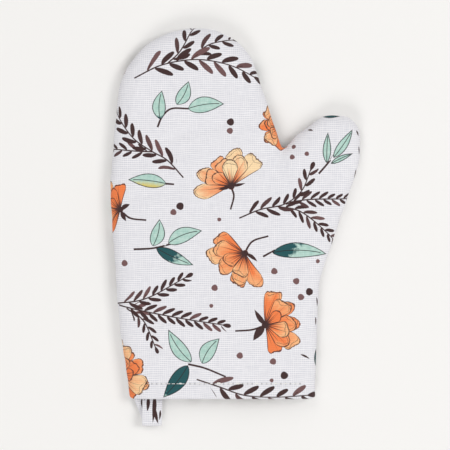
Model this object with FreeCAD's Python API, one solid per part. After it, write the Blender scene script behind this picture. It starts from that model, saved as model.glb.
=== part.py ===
import FreeCAD, Part
import math
import os

from FreeCAD import Vector

# ---------------------------------------------------------------- overall sizes, mm
MITT_LENGTH = 280.5  # cuff edge to fingertip
MITT_WIDTH = 188.0  # little-finger side to thumb tip
HALF_THICKNESS = 9.0  # seam plane to the outside of one half, lying relaxed
EDGE_ROUND = 8.4  # rounding of the padded edge beside the seam

# ---------------------------------------------------------------- cloth layers, mm
COVER_THICKNESS = 0.6
WADDING_THICKNESS = 3.6
LINING_THICKNESS = 0.4
SEAM_ALLOWANCE = 5.0  # cloth turned inwards at the seam
SEAM_THREAD_INSET = 1.0
SEAM_THREAD_SIZE = 0.5

# ---------------------------------------------------------------- cuff hem, mm
HEM_DEPTH = 14.0  # cloth turned up inside the cuff
HEM_STITCH_SETBACK = 11.7
STITCH_PITCH = 3.6
STITCH_LENGTH = 2.8
STITCH_WIDTH = 0.6
STITCH_DEPTH = 0.3
STITCH_BASE = 0.15
STITCH_SIDE_MARGIN = 10.0
HEM_GAP = 0.05

# ---------------------------------------------------------------- hanging loop, mm
LOOP_WIDTH = 15.0
LOOP_LENGTH = 20.6  # below the cuff edge
LOOP_STRIP = 1.4  # one folded leg
LOOP_EYE_RADIUS = 3.0
LOOP_LEFT = 8.6  # from the cuff's corner
LOOP_TAIL_LENGTH = 12.0
LOOP_HINGE_DROP = 2.0
BARTACK_LENGTH = 11.0
BARTACK_WIDTH = 1.5
BARTACK_HEIGHT = 0.3
BARTACK_SETBACK = 9.0

# ---------------------------------------------------------------- bends
KNUCKLE_HEIGHT = 206.0  # finger fold line above the cuff edge
THUMB_FOLD_OFFSET = 13.6  # thumb fold line out from the crotch line
FINGER_BEND = 45.0  # degrees, each way
THUMB_BEND = 40.0
LOOP_BEND = 75.0
FOLD_CLEARANCE = 0.5  # half the gap left on the fold line
LOOP_CLEARANCE = 0.3

# ---------------------------------------------------------------- outline of the flat mitt
# corner x, corner y, rounding radius, all mm, from the left end of the cuff edge
PATTERN_LENGTH = 280.5
PATTERN_WIDTH = 188.0
CUFF_RUN_OUT = 40.0
PATTERN = [
    (5.9, -CUFF_RUN_OUT, 0.0),
    (-8.5, 58.0, 300.0),
    (-15.6, 158.0, 250.0),
    (-4.9, 281.6, 59.0),
    (84.6, 278.8, 45.0),
    (115.0, 186.5, 2.5),
    (125.0, 198.6, 20.0),
    (147.0, 214.6, 19.0),
    (173.2, 212.8, 15.0),
    (173.0, 179.0, 40.0),
    (142.1, 89.0, 60.0),
    (137.5, -CUFF_RUN_OUT, 0.0),
]
CROTCH = (115.5, 188.9)
THUMB_SIDE = (151.4, 119.2)

SEAM_PLANE = HALF_THICKNESS
SCALE_X = MITT_WIDTH / PATTERN_WIDTH
SCALE_Y = MITT_LENGTH / PATTERN_LENGTH
WALL = COVER_THICKNESS + WADDING_THICKNESS + LINING_THICKNESS
BIG = 500.0


def pattern_point(x, y):
    """Pattern x and y as a point on the seam plane, at this mitt's size."""
    return Vector(x * SCALE_X, y * SCALE_Y, SEAM_PLANE)


def corner_trim(before, corner, after, radius):
    """Distance from a corner to where its rounding begins."""
    u = (before - corner).normalize()
    v = (after - corner).normalize()
    angle = u.getAngle(v)
    return radius / math.tan(angle / 2.0)


def fitted_radii(points, radii):
    """Radii made smaller where two roundings would not fit on the side between them."""
    count = len(points)
    fitted = list(radii)
    for i in range(count):
        j = (i + 1) % count
        side = (points[j] - points[i]).Length
        first = corner_trim(points[i - 1], points[i], points[j], fitted[i]) if fitted[i] else 0.0
        after = points[(j + 1) % count]
        second = corner_trim(points[i], points[j], after, fitted[j]) if fitted[j] else 0.0
        if first + second > 0.98 * side:
            share = 0.98 * side / (first + second)
            fitted[i] = fitted[i] * share
            fitted[j] = fitted[j] * share
    return fitted


def outline_wire():
    """Closed rounded outline of the mitt on the seam plane, running past the cuff."""
    points = [pattern_point(x, y) for x, y, radius in PATTERN]
    small = min(SCALE_X, SCALE_Y)
    radii = fitted_radii(points, [radius * small for x, y, radius in PATTERN])
    edges = []
    ends = []
    arcs = []
    count = len(points)
    for i in range(count):
        corner = points[i]
        before = points[i - 1]
        after = points[(i + 1) % count]
        if radii[i] == 0.0:
            ends.append((corner, corner))
            arcs.append(None)
            continue
        trim = corner_trim(before, corner, after, radii[i])
        u = (before - corner).normalize()
        v = (after - corner).normalize()
        start = corner + u * trim
        end = corner + v * trim
        bisector = (u + v).normalize()
        reach = math.hypot(trim, radii[i]) - radii[i]
        middle = corner + bisector * reach
        ends.append((start, end))
        arcs.append(Part.Arc(start, middle, end).toShape())
    for i in range(count):
        if arcs[i] is not None:
            edges.append(arcs[i])
        edges.append(Part.LineSegment(ends[i][1], ends[(i + 1) % count][0]).toShape())
    return Part.Wire(Part.__sortEdges__(edges))


OUTLINE = outline_wire()


def inset_wire(inset):
    """Outline moved inwards by inset."""
    if inset == 0.0:
        return OUTLINE.copy()
    return OUTLINE.makeOffset2D(-inset, 0, False, False, False)


def prism(inset, low, high):
    """Straight block inside the outline from z = low to z = high."""
    wire = inset_wire(inset)
    wire.translate(Vector(0, 0, low - SEAM_PLANE))
    return Part.Face(wire).extrude(Vector(0, 0, high - low))


def dome(inset):
    """Upper half of the mitt's form, every face moved inwards by inset."""
    top = 2.0 * HALF_THICKNESS - inset
    block = prism(inset, SEAM_PLANE, top)
    rim = [edge for edge in block.Edges if abs(edge.BoundBox.ZMin - top) < 1e-4]
    return block.makeFillet(EDGE_ROUND - inset, rim)


def slab(y_low, y_high):
    """Everything between two heights above the cuff edge."""
    block = Part.makeBox(2 * BIG, y_high - y_low, 2 * BIG)
    block.translate(Vector(-BIG, y_low, -BIG))
    return block


def ring(outer_inset, inner_inset, low, high):
    """Flat ring that follows the outline."""
    return prism(outer_inset, low, high).cut(prism(inner_inset, low - 1.0, high + 1.0))


def one_solid(shape):
    """The shape as one clean solid."""
    clean = shape.removeSplitter()
    solids = sorted(clean.Solids, key=lambda s: s.Volume)
    if len(solids) == 0:
        raise ValueError("nothing left of a piece")
    return solids[-1]


def mirrored(shape):
    """The back half's copy of a front-half shape."""
    return shape.mirror(Vector(0, 0, SEAM_PLANE), Vector(0, 0, 1))


# ---------------------------------------------------------------- folds


def wedge_profile(half_angle, clearance, side):
    """Points (distance, height) of the region on one side of a fold, clear of its wedge."""
    lean = math.tan(math.radians(half_angle))
    spread = clearance + BIG * lean
    return [
        (side * clearance, 0.0),
        (side * spread, BIG),
        (side * (spread + 2 * BIG), BIG),
        (side * (spread + 2 * BIG), -BIG),
        (side * spread, -BIG),
    ]


def fold_region(origin, along, across, reach, profile):
    """Solid of a fold profile, swept along the fold line both ways from its origin."""
    start = origin - along * reach[0]
    corners = [start + across * d + Vector(0, 0, h) for d, h in profile]
    face = Part.Face(Part.makePolygon(corners + [corners[0]]))
    return face.extrude(along * (reach[0] + reach[1]))


def finger_fold():
    """Knuckle fold line: origin, direction along it and direction across it."""
    origin = Vector(50.0 * SCALE_X, KNUCKLE_HEIGHT * SCALE_Y, SEAM_PLANE)
    return origin, Vector(1, 0, 0), Vector(0, 1, 0)


def thumb_fold():
    """Thumb fold line: origin, direction along it and direction across it."""
    crotch = pattern_point(CROTCH[0], CROTCH[1])
    side = pattern_point(THUMB_SIDE[0], THUMB_SIDE[1])
    along = (side - crotch).normalize()
    across = Vector(-along.y, along.x, 0)
    origin = (crotch + side) * 0.5 + across * THUMB_FOLD_OFFSET
    return origin, along, across


def finger_region(kept):
    """Region kept for the fingers, or the larger one taken from the palm."""
    origin, along, across = finger_fold()
    side = 1.0
    profile = wedge_profile(FINGER_BEND / 2.0, FOLD_CLEARANCE, side)
    if not kept:
        lean = math.tan(math.radians(FINGER_BEND / 2.0))
        spread = FOLD_CLEARANCE + BIG * lean
        profile = [(-FOLD_CLEARANCE, 0.0), (-spread, BIG), (3 * BIG, BIG), (3 * BIG, -BIG), (-spread, -BIG)]
    right = 118.0 * SCALE_X - origin.x
    return fold_region(origin, along, across, (120.0, right), profile)


def thumb_region(kept):
    """Region kept for the thumb, or the larger one taken from the palm."""
    origin, along, across = thumb_fold()
    profile = wedge_profile(THUMB_BEND / 2.0, FOLD_CLEARANCE, 1.0)
    if not kept:
        lean = math.tan(math.radians(THUMB_BEND / 2.0))
        spread = FOLD_CLEARANCE + BIG * lean
        profile = [(-FOLD_CLEARANCE, 0.0), (-spread, BIG), (3 * BIG, BIG), (3 * BIG, -BIG), (-spread, -BIG)]
    return fold_region(origin, along, across, (60.0, 70.0), profile)


def palm_part(shape):
    """The part of one layer on the palm's side of both folds."""
    return shape.cut(finger_region(False)).cut(thumb_region(False))


def split(shape):
    """Palm, fingers and thumb parts of one layer."""
    fingers = shape.common(finger_region(True))
    thumb = shape.common(thumb_region(True))
    return {
        "palm": one_solid(palm_part(shape)),
        "fingers": one_solid(fingers),
        "thumb": one_solid(thumb),
    }


# ---------------------------------------------------------------- layers of the front half


def seam_groove():
    """Room for the seam's thread between the two turned edges."""
    low = SEAM_PLANE - SEAM_THREAD_SIZE / 2.0
    high = SEAM_PLANE + SEAM_THREAD_SIZE / 2.0
    return ring(SEAM_THREAD_INSET, SEAM_THREAD_INSET + SEAM_THREAD_SIZE, low, high)


def hem_line_span():
    """Left and right ends of the hem stitching."""
    left = STITCH_SIDE_MARGIN * SCALE_X
    right = (139.3 - STITCH_SIDE_MARGIN) * SCALE_X
    return left, right


def hem_groove():
    """Channel in the cover under the hem stitching."""
    left, right = hem_line_span()
    block = Part.makeBox(right - left, STITCH_WIDTH, STITCH_DEPTH + 1.0)
    y_low = HEM_STITCH_SETBACK - STITCH_WIDTH / 2.0
    block.translate(Vector(left, y_low, 2 * HALF_THICKNESS - STITCH_DEPTH))
    return block


def cover(forms):
    """Printed cover: outer skin, turned seam edge and the hem turned up inside."""
    skin = forms["outside"].cut(forms["under_cover"])
    turned = ring(COVER_THICKNESS / 2.0, SEAM_ALLOWANCE, SEAM_PLANE, SEAM_PLANE + COVER_THICKNESS)
    whole = forms["outside"].cut(forms["in_hem"])
    edge = whole.common(slab(0.0, COVER_THICKNESS))
    band = forms["in_lining"].cut(forms["in_hem"]).common(slab(0.0, HEM_DEPTH))
    shape = skin.fuse([turned, edge, band]).common(slab(0.0, BIG))
    return shape.cut(seam_groove()).cut(hem_groove())


def turned_edge_room():
    """Block that the turned seam edge takes out of the inner layers."""
    return ring(0.0, SEAM_ALLOWANCE, SEAM_PLANE - 1.0, SEAM_PLANE + COVER_THICKNESS)


def wadding(forms):
    """Padding between cover and lining."""
    layer = forms["under_cover"].cut(forms["under_wadding"])
    return layer.cut(turned_edge_room()).common(slab(COVER_THICKNESS + HEM_GAP, BIG))


def lining(forms):
    """Plain inner cloth."""
    layer = forms["under_wadding"].cut(forms["in_lining"])
    return layer.cut(turned_edge_room()).common(slab(COVER_THICKNESS + HEM_GAP, BIG))


def half_forms():
    """Nested forms whose differences are the layers."""
    return {
        "outside": dome(0.0),
        "under_cover": dome(COVER_THICKNESS),
        "under_wadding": dome(COVER_THICKNESS + WADDING_THICKNESS),
        "in_lining": dome(WALL),
        "in_hem": dome(WALL + COVER_THICKNESS),
    }


# ---------------------------------------------------------------- threads


def seam_threads():
    """Runs of the seam's thread, from the cuff's left round to its right."""
    thread = seam_groove().common(slab(0.0, BIG))
    palm = palm_part(thread).removeSplitter()
    runs = sorted(palm.Solids, key=lambda run: run.BoundBox.XMin)
    return {
        "left": runs[0],
        "fingers": one_solid(thread.common(finger_region(True))),
        "crotch": runs[1],
        "thumb": one_solid(thread.common(thumb_region(True))),
        "right": runs[2],
    }


def hem_thread():
    """Row of stitches along the front hem, joined by the thread under the cloth."""
    left, right = hem_line_span()
    top = 2 * HALF_THICKNESS
    y_low = HEM_STITCH_SETBACK - STITCH_WIDTH / 2.0
    base = Part.makeBox(right - left, STITCH_WIDTH, STITCH_BASE)
    base.translate(Vector(left, y_low, top - STITCH_DEPTH))
    stitches = []
    count = int((right - left) / STITCH_PITCH)
    start = left + ((right - left) - count * STITCH_PITCH) / 2.0
    for i in range(count):
        stitch = Part.makeBox(STITCH_LENGTH, STITCH_WIDTH, STITCH_DEPTH)
        x = start + i * STITCH_PITCH + (STITCH_PITCH - STITCH_LENGTH) / 2.0
        stitch.translate(Vector(x, y_low, top - STITCH_DEPTH))
        stitches.append(stitch)
    return base.fuse(stitches)


# ---------------------------------------------------------------- hanging loop


def loop_centre_height():
    """Height of the loop's middle where it leaves the cuff."""
    inner_face = SEAM_PLANE - (HALF_THICKNESS - WALL - COVER_THICKNESS)
    return inner_face + HEM_GAP + LOOP_STRIP


def teardrop(apex_y, apex_half, end_y, radius, height):
    """Closed outline in the YZ plane, narrow at the cuff and round at the far end."""
    centre_y = end_y + radius
    run = apex_y - centre_y
    reach = math.hypot(run, apex_half)
    lean = math.asin(min(0.999, radius / reach)) - math.atan2(apex_half, run)
    lean = max(lean, 0.01)
    touch_y = centre_y + radius * math.sin(lean)
    touch_z = radius * math.cos(lean)
    top = Vector(0, touch_y, height + touch_z)
    bottom = Vector(0, touch_y, height - touch_z)
    far = Vector(0, end_y, height)
    edges = [Part.Arc(top, far, bottom).toShape()]
    if apex_half > 0.0:
        apex_top = Vector(0, apex_y, height + apex_half)
        apex_bottom = Vector(0, apex_y, height - apex_half)
        edges.append(Part.LineSegment(bottom, apex_bottom).toShape())
        edges.append(Part.LineSegment(apex_bottom, apex_top).toShape())
        edges.append(Part.LineSegment(apex_top, top).toShape())
    else:
        apex = Vector(0, apex_y, height)
        edges.append(Part.LineSegment(bottom, apex).toShape())
        edges.append(Part.LineSegment(apex, top).toShape())
    return Part.Face(Part.Wire(Part.__sortEdges__(edges)))


def loop_fold():
    """Fold line where the loop leaves the cuff."""
    origin = Vector(LOOP_LEFT, -LOOP_HINGE_DROP, loop_centre_height())
    return origin, Vector(1, 0, 0), Vector(0, -1, 0)


def hanging_loop():
    """Free part of the loop, below the cuff."""
    height = loop_centre_height()
    outside = teardrop(0.0, LOOP_STRIP, -LOOP_LENGTH, LOOP_EYE_RADIUS + LOOP_STRIP, height)
    apex = -LOOP_HINGE_DROP - 2.0 * LOOP_STRIP
    inside = teardrop(apex, 0.0, -LOOP_LENGTH + LOOP_STRIP, LOOP_EYE_RADIUS, height)
    body = outside.cut(inside).extrude(Vector(LOOP_WIDTH, 0, 0))
    body.translate(Vector(LOOP_LEFT, 0, 0))
    origin, along, across = loop_fold()
    profile = wedge_profile(LOOP_BEND / 2.0, LOOP_CLEARANCE, 1.0)
    return body.common(fold_region(origin, along, across, (10.0, 40.0), profile))


def loop_tail():
    """Both legs of the loop, lying together inside the cuff."""
    height = loop_centre_height()
    length = LOOP_TAIL_LENGTH + LOOP_HINGE_DROP
    body = Part.makeBox(LOOP_WIDTH, length, 2 * LOOP_STRIP)
    body.translate(Vector(LOOP_LEFT, -LOOP_HINGE_DROP, height - LOOP_STRIP))
    origin, along, across = loop_fold()
    profile = wedge_profile(LOOP_BEND / 2.0, LOOP_CLEARANCE, -1.0)
    return body.common(fold_region(origin, along, across, (10.0, 40.0), profile))


def loop_bartack():
    """Dense bar of stitches that holds the loop."""
    body = Part.makeBox(BARTACK_LENGTH, BARTACK_WIDTH, BARTACK_HEIGHT)
    x = LOOP_LEFT + (LOOP_WIDTH - BARTACK_LENGTH) / 2.0
    body.translate(Vector(x, BARTACK_SETBACK, loop_centre_height() + LOOP_STRIP))
    return body


# ---------------------------------------------------------------- assembly


def build():
    """All nodes, by name, in the pattern's own place."""
    forms = half_forms()
    nodes = {}
    layers = {"cover": cover(forms), "wadding": wadding(forms), "lining": lining(forms)}
    for layer, shape in layers.items():
        for region, piece in split(shape).items():
            nodes["front_" + layer + "_" + region] = piece
            nodes["back_" + layer + "_" + region] = mirrored(piece)
    for region, piece in seam_threads().items():
        nodes["seam_thread_" + region] = piece
    thread = one_solid(hem_thread())
    nodes["hem_thread_front"] = thread
    nodes["hem_thread_back"] = mirrored(thread)
    nodes["hanging_loop"] = one_solid(hanging_loop())
    nodes["loop_tail"] = one_solid(loop_tail())
    nodes["loop_bartack"] = one_solid(loop_bartack())
    return nodes


def frame_shift(nodes):
    """Move that puts the origin at the middle of the whole mitt's box, on its base."""
    box = FreeCAD.BoundBox()
    for shape in nodes.values():
        box.add(shape.optimalBoundingBox(False))
    return Vector(-box.Center.x, -box.Center.y, -box.ZMin)


def report(nodes, shift):
    """Prints what the record needs: places, sizes and solids."""
    for name in sorted(nodes):
        shape = nodes[name]
        box = shape.optimalBoundingBox(False)
        low = (round(box.XMin, 2), round(box.YMin, 2), round(box.ZMin, 2))
        high = (round(box.XMax, 2), round(box.YMax, 2), round(box.ZMax, 2))
        print(name, shape.isValid(), len(shape.Solids), round(shape.Volume, 1), low, high)
    print("shift", tuple(round(v, 3) for v in shift))
    for label, fold in (("finger", finger_fold()), ("thumb", thumb_fold()), ("loop", loop_fold())):
        origin = fold[0] + shift
        place = tuple(round(v, 3) for v in origin)
        print(label, place, tuple(round(v, 4) for v in fold[1]), tuple(round(v, 4) for v in fold[2]))


def main():
    os.makedirs("parts", exist_ok=True)
    nodes = build()
    shift = frame_shift(nodes)
    for name, shape in nodes.items():
        shape.translate(shift)
        shape.exportStep("parts/" + name + ".step")
    report(nodes, shift)


main()
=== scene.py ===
"""Oven mitt: printed cotton over wadding, with a hemmed cuff, a lined hand space and a hanging loop."""

from __future__ import annotations

import logging
import math
from dataclasses import dataclass, field
from enum import Enum

import bpy
import numpy as np
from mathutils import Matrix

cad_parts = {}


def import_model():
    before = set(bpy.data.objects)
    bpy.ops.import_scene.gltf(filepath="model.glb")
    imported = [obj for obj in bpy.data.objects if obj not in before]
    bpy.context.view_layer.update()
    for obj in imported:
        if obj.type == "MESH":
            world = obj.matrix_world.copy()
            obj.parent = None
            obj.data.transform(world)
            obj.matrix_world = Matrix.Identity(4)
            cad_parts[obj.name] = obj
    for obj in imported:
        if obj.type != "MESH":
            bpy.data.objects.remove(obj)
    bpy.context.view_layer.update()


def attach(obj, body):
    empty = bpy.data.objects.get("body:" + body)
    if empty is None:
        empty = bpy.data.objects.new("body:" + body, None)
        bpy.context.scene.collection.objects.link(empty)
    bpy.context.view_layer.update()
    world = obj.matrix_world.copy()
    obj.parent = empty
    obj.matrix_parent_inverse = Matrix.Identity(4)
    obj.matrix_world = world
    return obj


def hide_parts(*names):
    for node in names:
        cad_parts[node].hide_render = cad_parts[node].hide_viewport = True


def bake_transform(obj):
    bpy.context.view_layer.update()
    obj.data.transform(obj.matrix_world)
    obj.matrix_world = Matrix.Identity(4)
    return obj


LOG = logging.getLogger("oven_mitt")
MM = 0.001
Array = np.ndarray
Point = tuple[float, float]
Colour = tuple[float, float, float, float]
Socket = bpy.types.NodeSocket
Node = bpy.types.Node
Tree = bpy.types.NodeTree
Material = bpy.types.Material
Piece = bpy.types.Object


# ------------------------------------------------------------------ small sums


def hex_colour(code: str) -> Colour:
    """Turns a screen colour code into linear light.

    Args:
        code: six hexadecimal digits.

    Returns:
        Red, green, blue and alpha, as a shader takes them.
    """
    parts = [int(code[i : i + 2], 16) / 255.0 for i in (0, 2, 4)]
    linear = [c / 12.92 if c <= 0.04045 else ((c + 0.055) / 1.055) ** 2.4 for c in parts]
    return (linear[0], linear[1], linear[2], 1.0)


def eased(low: float, high: float, count: int) -> Array:
    """Values from low to high, half a cosine wave apart, so closest together at both ends.

    Args:
        low: first value.
        high: last value.
        count: number of steps.

    Returns:
        count + 1 values.
    """
    turn = np.linspace(0.0, np.pi, count + 1)
    return low + (high - low) * (1.0 - np.cos(turn)) / 2.0


def smooth(x: Array) -> Array:
    """The 3x^2 - 2x^3 step, held at 0 and 1 outside."""
    t = np.clip(x, 0.0, 1.0)
    return t * t * (3.0 - 2.0 * t)


def bell(x: Array, width: float) -> Array:
    """A bell curve of height 1 with the given half width."""
    return np.exp(-((x / width) ** 2))


def unit(way: Array) -> Array:
    """One vector at length 1."""
    return way / np.linalg.norm(way)


def run_along(path: Array) -> Array:
    """Distance run along a path at each of its points, from 0."""
    return np.concatenate([[0.0], np.cumsum(np.linalg.norm(np.diff(path, axis=0), axis=1))])


def placed(name: str, data: object) -> Piece:
    """A new object in the scene."""
    item = bpy.data.objects.new(name, data)
    bpy.context.scene.collection.objects.link(item)
    return item


# ------------------------------------------------------------------ the cut pattern


@dataclass(frozen=True)
class Corner:
    """A corner of the cut pattern, in millimetres from the left end of the cuff edge."""

    x: float
    y: float
    radius: float = 0.0


@dataclass
class FlatPattern:
    """The mitt's outline as cut, with its left side, fingertips, crotch, thumb and right side."""

    arc_steps: int = 24
    side_height: float = 119.2
    notch_place: Point = (115.5, 188.9)
    notch_reach: float = 8.0
    middle_x: float = 130.0
    row_crowding: float = 1.25
    origin: Point = (-79.142, -129.641)
    corners: tuple[Corner, ...] = (
        Corner(5.9, -40.0),
        Corner(-8.5, 58.0, 300.0),
        Corner(-15.6, 158.0, 250.0),
        Corner(-4.9, 281.6, 59.0),
        Corner(84.6, 278.8, 45.0),
        Corner(115.0, 186.5, 2.5),
        Corner(125.0, 198.6, 20.0),
        Corner(147.0, 214.6, 19.0),
        Corner(173.2, 212.8, 15.0),
        Corner(173.0, 179.0, 40.0),
        Corner(142.1, 89.0, 60.0),
        Corner(137.5, -40.0),
    )
    points: Array = field(init=False)
    normals: Array = field(init=False)
    runs: Array = field(init=False)
    apex: int = field(init=False)
    crotch: int = field(init=False)
    thumb_tip: int = field(init=False)
    side: int = field(init=False)
    across: Array = field(init=False)

    def __post_init__(self) -> None:
        """Works out the rounded outline and its landmarks."""
        places, facings = [], []
        for i, corner in enumerate(self.corners):
            place = np.array([corner.x, corner.y])
            if corner.radius == 0.0:
                continue
            before = np.array([self.corners[i - 1].x, self.corners[i - 1].y])
            after = np.array([self.corners[i + 1].x, self.corners[i + 1].y])
            arc, facing = self._rounding(before, place, after, corner.radius)
            places.append(arc)
            facings.append(facing)
        first = np.array([[self.corners[0].x, self.corners[0].y]])
        last = np.array([[self.corners[-1].x, self.corners[-1].y]])
        self.points = np.concatenate([first, *places, last])
        self.normals = np.concatenate([facings[0][:1], *facings, facings[-1][-1:]])
        self._pin_side()
        self.runs = run_along(self.points)
        self.apex = int(np.argmax(self.points[:, 1]))
        notch = self.points[self.apex : self.apex + 4 * self.arc_steps]
        near = np.abs(notch - np.array(self.notch_place)).sum(axis=1) < self.notch_reach
        self.crotch = self.apex + int(np.argmin(np.where(near, notch[:, 1], np.inf)))
        along = unit(self.points[self.side] - self.points[self.crotch])
        self.across = np.array([-along[1], along[0]])
        reach = (self.points - self.points[self.crotch]) @ self.across
        on_thumb = self.points[:, 0] > self.notch_place[0] + 2.5
        self.thumb_tip = int(np.argmax(np.where(on_thumb, reach, -np.inf)))

    def _rounding(self, before: Array, place: Array, after: Array, radius: float) -> tuple[Array, Array]:
        """Arc that rounds one corner, tangent to both of its sides.

        Args:
            before: corner before.
            place: this corner.
            after: corner after.
            radius: rounding radius.

        Returns:
            Points of the arc and the outward direction at each.
        """
        into, out = unit(place - before), unit(after - place)
        turn = math.atan2(into[0] * out[1] - into[1] * out[0], float(into @ out))
        trim = radius * math.tan(abs(turn) / 2.0)
        start_facing = np.array([-into[1], into[0]])
        centre = place - into * trim + start_facing * radius * math.copysign(1.0, turn)
        heading = math.atan2(into[1], into[0]) + turn * np.linspace(0.0, 1.0, self.arc_steps + 1)
        facing = np.stack([-np.sin(heading), np.cos(heading)], axis=1)
        return centre - facing * radius * math.copysign(1.0, turn), facing

    def _pin_side(self) -> None:
        """Adds the point of the right edge where the thumb's line ends."""
        right = np.nonzero(self.points[:, 0] > self.middle_x)[0]
        below = right[self.points[right, 1] < self.side_height][0]
        a, b = self.points[below - 1], self.points[below]
        share = (a[1] - self.side_height) / (a[1] - b[1])
        self.points = np.insert(self.points, below, a + (b - a) * share, axis=0)
        facing = self.normals[below - 1] * (1 - share) + self.normals[below] * share
        self.normals = np.insert(self.normals, below, unit(facing), axis=0)
        self.side = int(below)

    def inset(self, depth: float) -> Array:
        """Outline moved inwards by depth."""
        return self.points - self.normals * depth

    def edge(self, plan: Array) -> tuple[Array, Array, Array]:
        """Nearest place on the outline for each point of the plan.

        Args:
            plan: points, any shape ending in 2.

        Returns:
            Distance from the outline, outward direction there, and distance run along it.
        """
        flat = plan.reshape(-1, 2)
        start, step = self.points[:-1], np.diff(self.points, axis=0)
        square = np.einsum("ij,ij->i", step, step)
        square = np.where(square < 1e-12, 1e-12, square)
        blocks = []
        for block in np.array_split(flat, max(1, len(flat) // 2500)):
            offset = block[:, None, :] - start[None]
            share = np.clip(np.einsum("ijk,jk->ij", offset, step) / square, 0.0, 1.0)
            gap = offset - share[..., None] * step[None]
            near = np.argmin(np.einsum("ijk,ijk->ij", gap, gap), axis=1)
            row = np.arange(len(block))
            share, gap = share[row, near], gap[row, near]
            facing = self.normals[near] * (1 - share)[:, None] + self.normals[near + 1] * share[:, None]
            run = self.runs[near] * (1 - share) + self.runs[near + 1] * share
            distance = np.linalg.norm(gap, axis=1)
            blocks.append(np.column_stack([distance, facing, run]))
        found = np.concatenate(blocks).reshape(*plan.shape[:-1], 4)
        facing = found[..., 1:3]
        facing = facing / np.maximum(np.linalg.norm(facing, axis=-1, keepdims=True), 1e-9)
        return found[..., 0], facing, found[..., 3]

    def hand_rows(self, depth: float, start: float, counts: tuple[int, int, int]) -> Array:
        """Heights of the hand's rows, from start to the fingertip, closest at the landmarks."""
        line = self.inset(depth)
        side, crotch, top = line[self.side, 1], line[self.crotch, 1], line[self.apex, 1]
        low = start + (side - start) * np.linspace(0.0, 1.0, counts[0] + 1) ** self.row_crowding
        middle = eased(side, crotch, counts[1])
        high = eased(crotch, top, counts[2])
        return np.concatenate([low, middle[1:], high[1:]])

    def hand_plan(self, rows: Array, depth: Array, share: Array) -> Array:
        """Plan of the hand: each row runs from the left edge to the right edge or the thumb's line.

        Args:
            rows: height of each row.
            depth: inset of each row from the outline.
            share: shares of the row's width for the columns.

        Returns:
            Points, one row of them for each height.
        """
        left, right = np.empty_like(rows), np.empty_like(rows)
        for value in np.unique(depth):
            line = self.inset(float(value))
            here = depth == value
            left_side = line[: self.apex + 1]
            right_side = np.concatenate([line[self.apex : self.crotch + 1], line[self.side :]])[::-1]
            left[here] = np.interp(rows[here], left_side[:, 1], left_side[:, 0])
            right[here] = np.interp(rows[here], right_side[:, 1], right_side[:, 0])
        x = left[:, None] + (right - left)[:, None] * share[None, :]
        y = np.repeat(rows[:, None], len(share), axis=1)
        return np.stack([x, y], axis=-1)

    def thumb_plan(self, depth: float, share: Array, count: int) -> Array:
        """Plan of the thumb: rows parallel to the crotch line, from that line to the tip.

        Args:
            depth: inset from the outline.
            share: shares of the row's width for the columns, from the crotch side.
            count: number of steps from the line to the tip.

        Returns:
            Points, one row of them for each step, ending in one point.
        """
        line = self.inset(depth)
        crotch, side = line[self.crotch], line[self.side]
        along = unit(side - crotch)
        across = np.array([-along[1], along[0]])
        inner = line[self.crotch : self.thumb_tip + 1] - crotch
        outer = line[self.thumb_tip : self.side + 1][::-1] - crotch
        reach = eased(0.0, float((line[self.thumb_tip] - crotch) @ across), count)
        start = np.interp(reach, inner @ across, inner @ along)
        end = np.interp(reach, outer @ across, outer @ along)
        width = start[:, None] + (end - start)[:, None] * share[None, :]
        return crotch + width[..., None] * along + reach[:, None, None] * across

    def within(self, plan: Array) -> Array:
        """Whether a level ray to the right of each point crosses the outline an odd number of times."""
        a, b = self.points[:-1], self.points[1:]
        x, y = plan[..., 0, None], plan[..., 1, None]
        crosses = (a[:, 1] > y) != (b[:, 1] > y)
        rise = b[:, 1] - a[:, 1]
        rise = np.where(np.abs(rise) < 1e-9, 1e-9, rise)
        meet = a[:, 0] + (y - a[:, 1]) * (b[:, 0] - a[:, 0]) / rise
        return (crosses & (meet > x)).sum(axis=-1) % 2 == 1

    def world(self, plan: Array, height: Array) -> Array:
        """Plan points and heights in millimetres as places in metres."""
        place = np.concatenate([plan + np.array(self.origin), height[..., None]], axis=-1)
        return place * MM


# ------------------------------------------------------------------ lattices


@dataclass(frozen=True)
class Lattice:
    """A square lattice over the plan, in millimetres."""

    left: float = -21.0
    right: float = 180.0
    foot: float = 0.0
    top: float = 287.0
    step: float = 3.0

    def plan(self) -> Array:
        """Its points, row by row from the cuff."""
        x = np.arange(self.left, self.right, self.step)
        y = np.arange(self.foot, self.top, self.step)
        return np.stack(np.meshgrid(x, y), axis=-1)

    def value(self, values: Array, plan: Array) -> Array:
        """Values between lattice points, as the bilinear blend of the four round each place."""
        at = (plan - np.array([self.left, self.foot])) / self.step
        at = np.clip(at, 0.0, np.array(values.shape[::-1]) - 1.001)
        low = at.astype(int)
        u, v = at[..., 0] - low[..., 0], at[..., 1] - low[..., 1]
        i, j = low[..., 1], low[..., 0]
        near = values[i, j] * (1 - u) + values[i, j + 1] * u
        far = values[i + 1, j] * (1 - u) + values[i + 1, j + 1] * u
        return near * (1 - v) + far * v


def crossed(values: Array) -> Array:
    """Sum of each lattice point and its four neighbours, with 0 beyond the border."""
    wide = np.pad(values, 1)
    return wide[1:-1, 1:-1] + wide[:-2, 1:-1] + wide[2:, 1:-1] + wide[1:-1, :-2] + wide[1:-1, 2:]


def blurred(values: Array, mask: Array, passes: int) -> Array:
    """Mean over each point and its four neighbours in the mask, taken again and again.

    Args:
        values: lattice values.
        mask: 1 where a point counts.
        passes: number of rounds.

    Returns:
        The smoothed values.
    """
    count = np.maximum(crossed(mask.astype(float)), 1.0)
    for _ in range(passes):
        values = crossed(values * mask) / count
    return values


# ------------------------------------------------------------------ the padded form


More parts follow.
